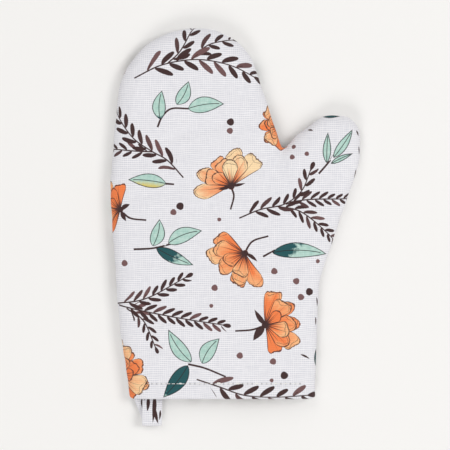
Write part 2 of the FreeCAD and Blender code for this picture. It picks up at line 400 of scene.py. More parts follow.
class Side(Enum):
    """Which half of the mitt."""

    FRONT = "front"
    BACK = "back"

    @property
    def sign(self) -> float:
        """+1 where the half rises from the seam plane, -1 where it goes down."""
        return 1.0 if self is Side.FRONT else -1.0


@dataclass
class ClothRun:
    """Cloth simulation of one half of the cover, held along its seam, its hem and its cuff edge.

    The cloth is cut a little larger than the padded form, and air pressure pushes it out,
    so it buckles into the small folds that sewn cloth has beside a seam. Outward is +1 for
    the front half and -1 for the back one.
    """

    outward: float
    frames: int = 20
    quality: int = 5
    pressure: float = 4.0
    growth: float = 0.02
    weight: float = 0.15
    pull: float = 15.0
    bend: float = 0.5

    def rise(self, places: Array, inside: Array, held: Array) -> Array:
        """Runs the cloth and measures how far each lattice point rose.

        Args:
            places: lattice of places in metres.
            inside: True at the lattice points that are cloth.
            held: True at the points that are sewn down, apart from the border.

        Returns:
            Rise in millimetres, 0 outside.
        """
        index = np.full(inside.shape, -1)
        index[inside] = np.arange(inside.sum())
        corners = np.stack([index[:-1, :-1], index[:-1, 1:], index[1:, 1:], index[1:, :-1]], axis=-1)
        corners = corners.reshape(-1, 4)
        mesh = bpy.data.meshes.new("cloth_run")
        mesh.from_pydata(places[inside].tolist(), [], corners[(corners >= 0).all(axis=1)].tolist())
        cloth = placed("cloth_run", mesh)
        core = crossed(inside.astype(int)) == 5
        pins = cloth.vertex_groups.new(name="sewn")
        pins.add(index[inside & (held | ~core)].tolist(), 1.0, "ADD")
        self._modifier(cloth)
        for frame in range(1, self.frames + 1):
            bpy.context.scene.frame_set(frame)
        settled = cloth.evaluated_get(bpy.context.evaluated_depsgraph_get())
        spots = fetched(settled.data.vertices, "co", np.float32, 3)
        rise = np.zeros(inside.shape)
        rise[inside] = (spots[:, 2] - places[inside][:, 2]) / MM
        bpy.data.objects.remove(cloth)
        bpy.data.meshes.remove(mesh)
        bpy.context.scene.frame_set(1)
        return rise

    def _modifier(self, cloth: Piece) -> None:
        """Adds the cloth modifier, without gravity or collision."""
        run = cloth.modifiers.new("run", "CLOTH")
        run.point_cache.frame_start, run.point_cache.frame_end = 1, self.frames
        run.collision_settings.use_collision = False
        make = run.settings
        make.quality, make.mass = self.quality, self.weight
        make.tension_stiffness = make.compression_stiffness = self.pull
        make.shear_stiffness, make.bending_stiffness = self.pull / 2.0, self.bend
        make.vertex_group_mass = "sewn"
        make.use_pressure, make.uniform_pressure_force = True, self.pressure * self.outward
        make.shrink_min = make.shrink_max = -self.growth
        make.effector_weights.gravity = 0.0


@dataclass(frozen=True)
class Crease:
    """A fold that leaves the crotch at an angle in degrees, with its sizes in millimetres."""

    angle: float
    depth: float
    reach: float
    width: float


@dataclass
class PaddedForm:
    """Height of each layer over the plan: a rounded edge, a soft crown, puckers and creases."""

    pattern: FlatPattern
    seam_plane: float = 9.0
    half: float = 8.5
    crown: float = 1.1
    crown_reach: float = 34.0
    edge_width: float = 14.0
    pucker: float = 0.4
    pucker_pitch: float = 8.3
    pucker_reach: float = 8.0
    groove: float = 1.1
    hem_height: float = 11.7
    hem_dip: float = 0.8
    bulge: float = 0.7
    fold_share: float = 0.6
    fold_cap: float = 0.75
    creases: tuple[Crease, ...] = (
        Crease(245.0, 0.95, 15.0, 1.3),
        Crease(218.0, 0.5, 20.0, 2.2),
        Crease(275.0, 0.45, 17.0, 2.0),
        Crease(308.0, 0.35, 22.0, 2.6),
        Crease(190.0, 0.3, 18.0, 2.6),
    )
    coarse: Lattice = Lattice()
    fine: Lattice = Lattice(step=1.0)
    folds: dict[Side, Array] = field(default_factory=dict)

    def settle(self, side: Side) -> None:
        """Finds the folds of one half with a cloth run.

        The run's rise also swells the whole half, which the padding under real cloth doesn't
        let it do, so the rise's own wide mean is taken off and only its folds are kept, each
        at most a fraction of a millimetre deep.

        Args:
            side: which half.
        """
        plan = self.coarse.plan()
        distance, _, _ = self.pattern.edge(plan)
        inside = self.pattern.within(plan) & (distance > 1.0)
        places = self.pattern.world(plan, self.height(plan, side, 0.0)[0])
        held = (np.abs(plan[..., 1] - self.hem_height) < 1.0) | (plan[..., 1] < 1.0)
        rise = ClothRun(side.sign).rise(places, inside, held) * side.sign
        folds = (rise - blurred(rise, inside, 14)) * self.fold_share
        folds = np.clip(folds, -self.fold_cap, self.fold_cap)
        folds = folds * smooth(distance / 6.0) * inside
        finer = self.fine.plan()
        spread = self.coarse.value(folds, finer)
        self.folds[side] = blurred(spread, np.ones_like(spread), 4)
        LOG.info("cloth run, %s: folds from %.2f to %.2f mm", side.value, folds.min(), folds.max())

    def bulges(self, run: Array) -> Array:
        """How far the rim stands out between its puckers: three uneven waves along the outline."""
        waves = np.sin(run / 2.9 + 1.3 * np.sin(run / 11.0)) + 0.8 * np.sin(run / 6.3 + 0.7)
        waves = waves + 0.5 * np.sin(run / 14.7)
        return self.bulge * (1.0 + waves / 2.3) / 2.0

    def relief(self, plan: Array, distance: Array, run: Array, side: Side) -> Array:
        """Waves, seam puckers, crotch creases and the hem's dip, in millimetres.

        Args:
            plan: plan points.
            distance: their distance from the outline.
            run: distance along the outline of the nearest edge.
            side: which half.

        Returns:
            Height to add away from the seam plane.
        """
        x, y = plan[..., 0], plan[..., 1]
        turn = 0.0 if side is Side.FRONT else 1.7
        drift = 1.4 * np.sin(run / 23.0 + turn) + 0.8 * np.sin(run / 9.1 + 2 * turn)
        ripple = np.sin(2 * np.pi * run / self.pucker_pitch + drift)
        ripple = ripple * (0.55 + 0.45 * np.sin(run / 17.0 + 1.1 + turn))
        lift = self.pucker * ripple * np.exp(-distance / self.pucker_reach)
        waves = 0.34 * np.sin(x / 15.0 + y / 27.0 + turn)
        waves = waves + 0.30 * np.sin(x / 29.0 - y / 17.0 + 2.0 + turn)
        waves = waves + 0.22 * np.sin(y / 9.5 + 1.3 * np.sin(x / 21.0) + turn)
        waves = waves + 0.13 * np.sin(x / 6.1 + 1.7 * np.sin(y / 16.0) + 0.6)
        lift = lift + waves * smooth(distance / 16.0)
        lift = lift - self._creases(x, y)
        if side in self.folds:
            lift = lift + self.fine.value(self.folds[side], plan)
        dip = bell(y - self.hem_height, 1.7) * (1.0 + 0.22 * np.sin(2 * np.pi * x / 7.2))
        lift = lift - self.hem_dip * dip + 0.35 * bell(y - self.hem_height - 4.5, 3.0)
        if side is Side.BACK:
            lift = np.minimum(lift, 0.0) * 0.5 + lift * 0.15 * (distance < 10.0)
        return lift

    def _creases(self, x: Array, y: Array) -> Array:
        """Small tension folds that leave the crotch, each a bell across and fading along."""
        tip = self.pattern.points[self.pattern.crotch]
        depth = np.zeros_like(x)
        for fold in self.creases:
            c, s = math.cos(math.radians(fold.angle)), math.sin(math.radians(fold.angle))
            along = (x - tip[0]) * c + (y - tip[1]) * s
            across = -(x - tip[0]) * s + (y - tip[1]) * c
            fade = smooth(along / 3.0) * np.exp(-np.maximum(along, 0.0) / fold.reach)
            depth = depth + fold.depth * fade * bell(across, fold.width)
        return depth

    def height(self, plan: Array, side: Side, depth: Array | float) -> tuple[Array, Array, Array, Array]:
        """Height of the surface that lies depth inside the cover's outside.

        The rise is the quarter of an ellipse from the layer's edge inwards, plus a crown
        that grows with the distance from the edge, plus the relief.

        Args:
            plan: plan points.
            side: which half.
            depth: millimetres inside the cover's outside.

        Returns:
            Height above the table, edge distance, outward direction and run along the outline.
        """
        distance, facing, run = self.pattern.edge(plan)
        inner = np.clip((distance - depth) / (self.edge_width - 0.5 * depth), 0.0, 1.0)
        rise = np.sqrt(np.clip(1.0 - (1.0 - inner) ** 2, 0.0, 1.0))
        crown = self.crown * (1.0 - np.exp(-((distance / self.crown_reach) ** 2)))
        if side is Side.BACK:
            crown = 0.25 * crown
        relief = self.relief(plan, distance, run, side) * rise * (1.0 - depth / 14.0)
        lift = (self.half + crown - depth) * rise + relief
        if side is Side.BACK:
            lift = np.minimum(lift, self.seam_plane - 0.12)
        return self.seam_plane + side.sign * np.maximum(lift, 0.0), distance, facing, run

    def spread(self, distance: Array) -> Array:
        """How much longer the cloth is than its plan, from here to where it is level.

        The quarter ellipse is measured along its curve and its plan length is taken off.
        """
        angle = np.linspace(0.0, np.pi / 2.0, 200)
        x = self.edge_width * (1.0 - np.cos(angle))
        z = self.half * np.sin(angle)
        curve = np.concatenate([[0.0], np.cumsum(np.hypot(np.diff(x), np.diff(z)))])
        left = curve[-1] - np.interp(distance, x, curve)
        return np.maximum(left - np.maximum(self.edge_width - distance, 0.0), 0.0)


# ------------------------------------------------------------------ meshes


@dataclass
class Cloth:
    """A mesh being made: places in metres, flat cloth coordinates in millimetres, and faces."""

    name: str
    places: Array
    flat: Array
    faces: list[Array]

    @staticmethod
    def grid(
        name: str, places: Array, flat: Array, flip: bool, pole: bool = False, ring: bool = False
    ) -> Cloth:
        """Quads between the rows and columns of a grid of points.

        Args:
            name: the piece's name.
            places: grid of places.
            flat: grid of flat cloth coordinates.
            flip: True to turn the faces over.
            pole: True where the last row is one point.
            ring: True where the last column joins the first.

        Returns:
            The mesh data.
        """
        rows, columns = places.shape[:2]
        index = np.arange(rows * columns).reshape(rows, columns)
        if ring:
            index = np.concatenate([index, index[:, :1]], axis=1)
        body = index[:-1] if pole else index
        quads = np.stack([body[:-1, :-1], body[:-1, 1:], body[1:, 1:], body[1:, :-1]], axis=-1)
        faces = [quads.reshape(-1, 4)]
        points, cloth = places.reshape(-1, 3), flat.reshape(-1, 2)
        if pole:
            last = body[-1]
            tip = np.full(len(last) - 1, (rows - 1) * columns)
            faces.append(np.stack([last[:-1], last[1:], tip], axis=-1))
            points = points[: (rows - 1) * columns + 1]
            cloth = cloth[: (rows - 1) * columns + 1]
        if flip:
            faces = [f[:, ::-1] for f in faces]
        return Cloth(name, points, cloth, faces)

    def build(self, material: Material) -> Piece:
        """Makes the Blender object, with its cloth coordinates and its bake layout."""
        corners = np.concatenate([f.reshape(-1) for f in self.faces]).astype(np.int32)
        totals = np.concatenate([np.full(len(f), f.shape[1]) for f in self.faces]).astype(np.int32)
        starts = np.concatenate([[0], np.cumsum(totals)[:-1]]).astype(np.int32)
        mesh = bpy.data.meshes.new(self.name)
        mesh.vertices.add(len(self.places))
        mesh.vertices.foreach_set("co", self.places.astype(np.float32).ravel())
        mesh.loops.add(len(corners))
        mesh.loops.foreach_set("vertex_index", corners)
        mesh.polygons.add(len(totals))
        mesh.polygons.foreach_set("loop_start", starts)
        mesh.polygons.foreach_set("loop_total", totals)
        mesh.polygons.foreach_set("use_smooth", np.ones(len(totals), dtype=bool))
        mesh.update(calc_edges=True)
        mesh.validate()
        low, span = self.flat.min(axis=0), float(np.ptp(self.flat, axis=0).max())
        layout = 0.01 + 0.98 * (self.flat[corners] - low) / max(span, 1e-6)
        bake = mesh.uv_layers.new(name="OFBake")
        bake.data.foreach_set("uv", layout.astype(np.float32).ravel())
        cloth = mesh.attributes.new("flat_mm", "FLOAT_VECTOR", "POINT")
        full = np.column_stack([self.flat, np.zeros(len(self.flat))]).astype(np.float32)
        cloth.data.foreach_set("vector", full.ravel())
        mesh.materials.append(material)
        return placed(self.name, mesh)

    def capped(self, sides: int) -> Cloth:
        """Closes both ends of a tube whose rows have the given number of points."""
        ring = np.arange(sides)
        self.faces += [ring[None, :], (ring + len(self.places) - sides)[::-1][None, :]]
        return self

    def flat_size(self) -> tuple[float, float, float]:
        """Width, length and area of the cut cloth, in metres and square metres."""
        span = np.ptp(self.flat, axis=0) * MM
        area = 0.0
        for faces in self.faces:
            ring = self.flat[faces]
            ahead = np.roll(ring, -1, axis=1)
            cross = ring[..., 0] * ahead[..., 1] - ahead[..., 0] * ring[..., 1]
            area += float(np.abs(cross.sum(axis=1)).sum()) / 2.0
        return float(span[0]), float(span[1]), area * MM * MM


def joined(name: str, parts: list[Cloth]) -> Cloth:
    """Several meshes as one, faces renumbered."""
    offset, faces = 0, []
    for part in parts:
        faces += [f + offset for f in part.faces]
        offset += len(part.places)
    places = np.concatenate([p.places for p in parts])
    flat = np.concatenate([p.flat for p in parts])
    return Cloth(name, places, flat, faces)


def fetched(items: object, name: str, kind: type, width: int = 1) -> Array:
    """One property of every item, as an array with a row for each."""
    values = np.empty(len(items) * width, dtype=kind)
    items.foreach_get(name, values)
    return values.reshape(-1, width) if width > 1 else values


# ------------------------------------------------------------------ the print

Stamped = tuple[Array, Array, tuple[float, float, float]]


class Ink(Enum):
    """Kinds of printed motif, with the code the cloth carries for each."""

    LEAF = 1.0
    SPRIG = 2.0
    BLOOM = 3.0
    DOT = 4.0


@dataclass(frozen=True)
class Leaf:
    """A single leaf from base to tip; dark is the share from the base that is painted dark."""

    base: Point
    tip: Point
    width: float
    bend: float = 0.0
    tone: float = 0.0
    dark: float = 0.0
    ink: Ink = Ink.LEAF

    def local(self, flat: Array) -> Stamped:
        """Share of the way from base to tip, and offset in half widths from the curved midrib."""
        base, tip = np.array(self.base), np.array(self.tip)
        length = float(np.linalg.norm(tip - base))
        way = (tip - base) / length
        share = (flat - base) @ way / length
        off = (flat - base) @ np.array([-way[1], way[0]])
        inside = np.clip(share, 0.0, 1.0)
        off = off - 4.0 * self.bend * inside * (1.0 - inside)
        return share, off / (self.width / 2.0), (self.width / 2.0, self.tone, self.dark)

    def reach(self) -> tuple[Point, float]:
        """Middle and half size of the motif."""
        middle = ((self.base[0] + self.tip[0]) / 2, (self.base[1] + self.tip[1]) / 2)
        return middle, math.dist(self.base, self.tip) / 2 + self.width / 2 + abs(self.bend)

    def near(self, a: Array, b: Array) -> Array:
        """Whether a place can carry ink of this leaf."""
        return (a > -0.12) & (a < 1.12) & (np.abs(b) < 1.35 + 1.0 / self.width)


@dataclass(frozen=True)
class Sprig:
    """A curved branch through its points, with paired leaflets; leaflet 0 gives a bare stem."""

    through: tuple[Point, ...]
    pitch: float = 4.4
    leaflet: float = 7.0
    ink: Ink = Ink.SPRIG

    def curve(self) -> Array:
        """Points along a smooth curve through the branch's points, as a Catmull-Rom blend."""
        knots = np.array(self.through)
        knots = np.concatenate([[2 * knots[0] - knots[1]], knots, [2 * knots[-1] - knots[-2]]])
        t = np.linspace(0.0, 1.0, 13)[:, None]
        spans = []
        for i in range(1, len(knots) - 2):
            p0, p1, p2, p3 = knots[i - 1 : i + 3]
            span = 2 * p1 + (p2 - p0) * t + (2 * p0 - 5 * p1 + 4 * p2 - p3) * t**2
            span = 0.5 * (span + (3 * p1 - p0 - 3 * p2 + p3) * t**3)
            spans.append(span if i == 1 else span[1:])
        return np.concatenate(spans)

    def local(self, flat: Array) -> Stamped:
        """Distance along the branch and signed distance across it."""
        line = self.curve()
        start, step = line[:-1], np.diff(line, axis=0)
        size = np.linalg.norm(step, axis=1)
        run = np.concatenate([[0.0], np.cumsum(size)])
        way = step / size[:, None]
        offset = flat[:, None, :] - start[None]
        along = np.einsum("ijk,jk->ij", offset, way)
        low = np.where(np.arange(len(size)) == 0, -1e9, 0.0)
        high = np.where(np.arange(len(size)) == len(size) - 1, 1e9, size)
        held = np.clip(along, low, high)
        gap = offset - held[..., None] * way[None]
        near = np.argmin(np.einsum("ijk,ijk->ij", gap, gap), axis=1)
        row = np.arange(len(flat))
        across = offset[row, near, 1] * way[near, 0] - offset[row, near, 0] * way[near, 1]
        return run[near] + held[row, near], across, (float(run[-1]), self.pitch, self.leaflet)

    def reach(self) -> tuple[Point, float]:
        """Middle and half size of the motif."""
        line = self.curve()
        middle = (line.min(axis=0) + line.max(axis=0)) / 2
        half = float(np.ptp(line, axis=0).max()) / 2 * 1.42
        return (float(middle[0]), float(middle[1])), half + self.leaflet + 2.0

    def near(self, a: Array, b: Array) -> Array:
        """Whether a place can carry ink of this branch."""
        line = self.curve()
        length = float(np.linalg.norm(np.diff(line, axis=0), axis=1).sum())
        along = (a > -1.6) & (a < length + 0.8 * self.leaflet + 1.6)
        return along & (np.abs(b) < 0.75 * self.leaflet + 1.6)


@dataclass(frozen=True)
class Bloom:
    """An open flower seen from the side: petals fan about the axis from the calyx."""

    calyx: Point
    axis: float
    radius: float
    tone: float = 0.0
    seed: float = 0.0
    ink: Ink = Ink.BLOOM

    def local(self, flat: Array) -> Stamped:
        """Place across and along the flower's axis, in flower radii."""
        c, s = math.cos(math.radians(self.axis)), math.sin(math.radians(self.axis))
        offset = (flat - np.array(self.calyx)) / self.radius
        ahead = offset @ np.array([c, s])
        aside = offset @ np.array([-s, c])
        return aside, ahead, (self.radius, self.tone, self.seed)

    def reach(self) -> tuple[Point, float]:
        """Middle and half size of the motif."""
        return self.calyx, self.radius * 1.15

    def near(self, a: Array, b: Array) -> Array:
        """Whether a place can carry ink of this flower."""
        return np.hypot(a, b) < 1.1 + 1.5 / self.radius


@dataclass(frozen=True)
class Dot:
    """A round dab of ink."""

    centre: Point
    radius: float
    tone: float = 0.0
    ink: Ink = Ink.DOT

    def local(self, flat: Array) -> Stamped:
        """Offsets from the centre in dot radii."""
        offset = (flat - np.array(self.centre)) / self.radius
        return offset[:, 0], offset[:, 1], (self.radius, self.tone, self.centre[0])

    def reach(self) -> tuple[Point, float]:
        """Middle and half size of the motif."""
        return self.centre, self.radius + 2.0

    def near(self, a: Array, b: Array) -> Array:
        """Whether a place can carry ink of this dot."""
        return np.hypot(a, b) < 1.2 + 1.6 / self.radius


Motif = Leaf | Sprig | Bloom | Dot


@dataclass
class Print:
    """The motifs of one cloth and the layers of ink they are laid in."""

    motifs: list[Motif]
    layers: int = 3

    def stamp(self, piece: Piece, turn: float = 0.0, pivot: Point = (0.0, 0.0)) -> None:
        """Writes each motif's own coordinates on the faces that it can touch.

        Every face corner gets a place and a style in one of a few layers, so a shader
        can draw the motif there. A face already used by a motif passes on to the next layer.

        Args:
            piece: object whose mesh has the flat cloth coordinates.
            turn: degrees that the whole print is turned on this piece.
            pivot: where it is turned about.
        """
        mesh = piece.data
        flat = fetched(mesh.attributes["flat_mm"].data, "vector", np.float32, 3)
        corner = fetched(mesh.loops, "vertex_index", np.int32)
        start = fetched(mesh.polygons, "loop_start", np.int32)
        total = fetched(mesh.polygons, "loop_total", np.int32)
        spots = flat[corner, :2].astype(float)
        if turn:
            c, s = math.cos(math.radians(turn)), math.sin(math.radians(turn))
            spots = (spots - np.array(pivot)) @ np.array([[c, s], [-s, c]]) + np.array(pivot)
        owner = np.repeat(np.arange(len(total)), total)
        middle = np.add.reduceat(spots, start, axis=0) / total[:, None]
        places = np.zeros((self.layers, len(corner), 3), dtype=np.float32)
        styles = np.zeros((self.layers, len(corner), 3), dtype=np.float32)
        used = np.zeros((self.layers, len(total)), dtype=bool)
        missed = 0
        for motif in self.motifs:
            centre, reach = motif.reach()
            close = np.nonzero(np.linalg.norm(middle - np.array(centre), axis=1) < reach)[0]
            if len(close) == 0:
                continue
            a, b, _ = motif.local(middle[close])
            close = close[motif.near(a, b)]
            for layer in range(self.layers):
                free = close[~used[layer, close]]
                used[layer, free] = True
                close = np.setdiff1d(close, free)
                mine = np.isin(owner, free)
                if not mine.any():
                    continue
                a, b, style = motif.local(spots[mine])
                places[layer, mine] = np.column_stack([a, b, np.full(len(a), motif.ink.value)])
                styles[layer, mine] = style
            missed += len(close)
        for layer in range(self.layers):
            for label, data in (("ink_place", places), ("ink_style", styles)):
                attribute = mesh.attributes.new(f"{label}_{layer + 1}", "FLOAT_VECTOR", "CORNER")
                attribute.data.foreach_set("vector", data[layer].ravel())
        inked = int(used.any(axis=0).sum())
        LOG.info("print on %s: %d of %d faces inked, %d left out", piece.name, inked, len(total), missed)


def garden(edge_blooms: bool = True) -> list[Motif]:
    """Motifs of the cloth: brown sprigs, teal leaves, orange blooms and dots, front ones first.

    Args:
        edge_blooms: False to leave out the blooms that the outline cuts.

    Returns:
        The motifs, in millimetres of the cut pattern.
    """
    stem = {"pitch": 4.0, "leaflet": 0.0}
    motifs: list[Motif] = []
    # blooms with their stems and sepals
    motifs += [
        Leaf((76, 161), (66, 158), 3.0, 0.4, 2.0),
        Leaf((76, 161), (87, 163), 2.6, -0.4, 2.0),
        Bloom((76, 160.5), 118.0, 31.0, 0.75, 3.0),
        Sprig(((76, 160), (78, 153), (75.5, 143)), **stem),
        Leaf((87, 110), (96, 103.5), 3.0, 0.6, 2.0),
        Bloom((86.5, 110), 222.0, 29.0, 0.0, 7.0),
        Sprig(((86, 110), (92, 119), (104, 123)), **stem),
        Leaf((102, 56), (93.5, 68), 4.0, 0.7, 2.0),
        Leaf((101, 55.5), (92.5, 44), 6.0, -0.4, 2.0),
        Bloom((101.5, 56), 8.0, 30.0, 0.0, 11.0),
        Sprig(((102, 56), (92, 52.5), (79, 51.5)), **stem),
    ]
    if edge_blooms:
        motifs += [
            Bloom((117, 207), 186.0, 24.0, 0.2, 17.0),
            Leaf((-7, 143), (0, 147), 3.6, 0.6, 2.0),
            Leaf((-7, 142), (-3, 134), 3.6, -0.4, 2.0),
            Bloom((-7.5, 143), 168.0, 26.0, 0.0, 23.0),
            Sprig(((-7, 142), (0, 136.5), (12, 135)), **stem),
            Bloom((-13, 17), 28.0, 31.0, 0.3, 29.0),
            Bloom((-24, 262), -30.0, 27.0, 0.3, 31.0),
        ]
    # teal leaf sprays
    motifs += [
        Leaf((22.5, 211), (24.0, 233), 10.5, 1.6, 0.0, 0.16),
        Leaf((35.0, 222), (44.0, 240), 10.5, -1.6),
        Leaf((43.5, 219), (71.0, 222.5), 12.5, 1.6),
        Sprig(((20.5, 205), (24, 213), (31, 219), (44, 219)), **stem),
        Leaf((17.0, 115.5), (22.0, 136), 11.0, -1.6),
        Leaf((28.5, 117.5), (54.5, 127), 12.0, 2.2),
        Leaf((19.5, 114), (48.0, 101), 10.0, -0.8, 0.0, 0.6),
        Sprig(((2.5, 113), (18, 114), (34, 118)), **stem),
        Leaf((46.0, 28), (28.5, 53), 11.5, 2.0),
        Leaf((54.0, 27), (67.5, 46), 12.0, 2.0),
        Leaf((43.5, 25.5), (24.5, 1.0), 12.5, 1.0, 0.0, 0.95),
        Sprig(((43.5, 26.5), (56, 23.5), (72, 17)), **stem),
        Leaf((148.0, 178), (149.0, 201.5), 6.6, 0.3),
        Leaf((153.0, 182), (168.0, 204), 7.4, -0.6),
        Leaf((151.0, 177.5), (168.5, 185.5), 4.6, 0.5),
        Sprig(((142, 170), (148.5, 177.5), (155, 186)), **stem),
        Leaf((27.0, 162.5), (-2.0, 165.5), 11.0, -1.0, 1.0, -0.5),
        Sprig(((26.5, 162.5), (33, 162.0)), **stem),
        Leaf((107.0, 110.5), (149.5, 109), 12.0, 2.6, 0.0, 0.46),
        Sprig(((100.0, 107.5), (109, 112.5)), **stem),
        Leaf((144.0, 215.5), (159.0, 215.5), 5.0, -0.4, 0.0, 1.3),
        Leaf((143.5, 24), (141.5, 38), 5.0, 0.5, 0.0, 1.3),
    ]
    # brown sprigs
    motifs += [
        Sprig(((3, 242), (24, 252), (50, 256), (74, 252), (94, 243)), 11.5, 14.5),
        Sprig(((28, 253), (38, 263), (48, 282)), 11.0, 12.0),
        Sprig(((46, 256.5), (59, 267), (78, 272)), 11.0, 11.5),
        Sprig(((40, 167), (28, 180), (16, 187), (2, 197), (-12, 216)), 9.0, 12.5),
        Sprig(((17, 186.5), (4, 187), (-17, 189)), 7.8, 9.5),
        Sprig(((82, 136.5), (98, 143), (116, 147), (129, 157), (136, 173)), 8.8, 11.0),
        Sprig(((117, 147), (134, 150.5), (166, 151)), 6.4, 9.0),
        Sprig(((110, 145.5), (130, 140.5), (157, 118)), 7.0, 9.8),
        Sprig(((-12, 72), (12, 76), (42, 92)), 7.4, 10.4),
        Sprig(((-10, 71), (12, 66), (38, 61), (70, 56)), 7.0, 10.4),
        Sprig(((-3, 68.5), (10, 59), (19, 39)), 7.2, 9.0),
        Sprig(((50, 15), (68, 9), (86, 3), (108, 1.5), (134, 3)), 12.5, 14.0),
    ]
    # dots
    spots = (
        (75.5, 209, 2.7, 0), (75.0, 202.3, 2.3, 1), (37.5, 145.5, 2.8, 0), (32.5, 141, 2.3, 1),
        (67, 135.5, 1.5, 1), (-4.5, 102.5, 2.4, 1), (63.5, 84, 2.4, 1), (61, 70.5, 1.5, 1),
        (108.5, 96.5, 2.4, 1), (125, 89, 2.4, 1), (135, 81, 2.8, 0), (128.5, 77, 2.4, 1),
        (82.5, 33, 2.4, 1), (107.5, 28.5, 2.4, 1), (116, 18, 2.8, 0), (106.5, 14.3, 1.5, 1),
        (133, 185, 1.7, 1), (122, 182.5, 1.9, 1), (123, 190.5, 1.7, 1), (141.5, 104, 1.6, 1),
    )
    motifs += [Dot((x, y), r, tone) for x, y, r, tone in spots]
    # short strokes that run over the seam
    strokes = (
        ((141, 77), (142.5, 69)), ((140.5, 62), (141, 55)), ((128, 34), (136, 30)),
        ((171.5, 173), (170.5, 165)), ((173.5, 191), (173.5, 184)), ((133, 204), (138, 202.5)),
        ((171, 203), (173, 198)),
    )
    motifs += [Leaf(a, b, 1.7, 0.3, 2.0) for a, b in strokes]
    return motifs


# ------------------------------------------------------------------ shader arithmetic


class Num:
    """A number socket that grows Math nodes as it is used in a sum."""

    def __init__(self, desk: Desk, socket: Socket) -> None:
        """Keeps the desk that adds nodes, and the socket."""
        self.desk = desk
        self.socket = socket

    def __add__(self, other: Num | float) -> Num:
        """Sum."""
        return self.desk.math("ADD", self, other)

    def __radd__(self, other: float) -> Num:
        """Sum."""
        return self.desk.math("ADD", other, self)

    def __sub__(self, other: Num | float) -> Num:
        """Difference."""
        return self.desk.math("SUBTRACT", self, other)

    def __rsub__(self, other: float) -> Num:
        """Difference."""
        return self.desk.math("SUBTRACT", other, self)

    def __mul__(self, other: Num | float) -> Num:
        """Product."""
        return self.desk.math("MULTIPLY", self, other)

    def __rmul__(self, other: float) -> Num:
        """Product."""
        return self.desk.math("MULTIPLY", other, self)

    def __truediv__(self, other: Num | float) -> Num:
        """Quotient."""
        return self.desk.math("DIVIDE", self, other)

    def __abs__(self) -> Num:
        """Size without sign."""
        return self.desk.math("ABSOLUTE", self)

    def __pow__(self, other: float) -> Num:
        """Power of the positive part."""
        return self.desk.math("POWER", self.desk.math("MAXIMUM", self, 0.0), other)

    def floor(self) -> Num:
        """Whole part."""
        return self.desk.math("FLOOR", self)

    def sin(self) -> Num:
        """Sine."""
        return self.desk.math("SINE", self)

    def held(self) -> Num:
        """Held between 0 and 1."""
        return self.desk.math("ADD", self, 0.0, clamp=True)

    def most(self, other: Num | float) -> Num:
        """The larger."""
        return self.desk.math("MAXIMUM", self, other)

    def least(self, other: Num | float) -> Num:
        """The smaller."""
        return self.desk.math("MINIMUM", self, other)

    def over(self, limit: Num | float) -> Num:
        """1 where above the limit."""
        return self.desk.math("GREATER_THAN", self, limit)

    def inside(self, soft: float = 0.2) -> Num:
        """Coverage of a shape whose edge distance in millimetres this is."""
        return (self / soft + 0.5).held()


class Desk:
    """Adds nodes to one tree and wires them."""

    def __init__(self, tree: Tree) -> None:
        """Keeps the tree."""
        self.tree = tree

    def node(self, kind: str, **settings: object) -> Node:
        """A new node with its settings."""
        made = self.tree.nodes.new(kind)
        for name, value in settings.items():
            setattr(made, name, value)
        return made

    def wire(self, source: object, target: Socket) -> None:
        """Links a socket or a Num to an input, or sets a plain value or a colour code on it."""
        if isinstance(source, Num):
            self.tree.links.new(source.socket, target)
        elif isinstance(source, Socket):
            self.tree.links.new(source, target)
        elif isinstance(source, str):
            target.default_value = hex_colour(source)[: len(target.default_value)]
        else:
            target.default_value = source

    def math(self, operation: str, *values: Num | float, clamp: bool = False) -> Num:
        """One Math node."""
        made = self.node("ShaderNodeMath", operation=operation, use_clamp=clamp)
        for value, target in zip(values, made.inputs):
            self.wire(value, target)
        return Num(self, made.outputs[0])

    def mix(self, share: Num | float, first: object, second: object) -> Socket:
        """One colour mixed into another."""
        made = self.node("ShaderNodeMix", data_type="RGBA", clamp_factor=True)
        self.wire(share, made.inputs[0])
        self.wire(first, made.inputs[6])
        self.wire(second, made.inputs[7])
        return made.outputs[2]

    def parts(self, vector: Socket) -> tuple[Num, Num, Num]:
        """The three numbers of a vector."""
        made = self.node("ShaderNodeSeparateXYZ")
        self.wire(vector, made.inputs[0])
        return Num(self, made.outputs[0]), Num(self, made.outputs[1]), Num(self, made.outputs[2])

    def vector(self, x: object, y: object, z: object = 0.0) -> Socket:
        """Three numbers as a vector."""
        made = self.node("ShaderNodeCombineXYZ")
        for value, target in zip((x, y, z), made.inputs):
            self.wire(value, target)
        return made.outputs[0]

    def noise(self, vector: Socket, scale: float, detail: float = 2.0, rough: float = 0.5) -> Num:
        """Noise between about 0 and 1."""
        made = self.node("ShaderNodeTexNoise", noise_dimensions="3D")
        self.wire(vector, made.inputs["Vector"])
        made.inputs["Scale"].default_value = scale
        made.inputs["Detail"].default_value = detail
        made.inputs["Roughness"].default_value = rough
        return Num(self, made.outputs[0])

    def chance(self, x: Num, y: Num | float, z: Num | float = 0.0) -> Num:
        """A random number from 0 to 1 for each triple, which is rounded so that it holds still."""
        made = self.node("ShaderNodeTexWhiteNoise", noise_dimensions="3D")
        whole = [(v + 0.5).floor() if isinstance(v, Num) else v for v in (x, y, z)]
        self.wire(self.vector(*whole), made.inputs["Vector"])
        return Num(self, made.outputs["Value"])

    def attribute(self, name: str) -> Socket:
        """Vector attribute of the piece."""
        return self.node("ShaderNodeAttribute", attribute_name=name).outputs["Vector"]

    def group(self, tree: Tree, **inputs: object) -> Node:
        """A placed node group with its inputs."""
        made = self.node("ShaderNodeGroup", node_tree=tree)
        for name, value in inputs.items():
            self.wire(value, made.inputs[name.replace("_", " ")])
        return made


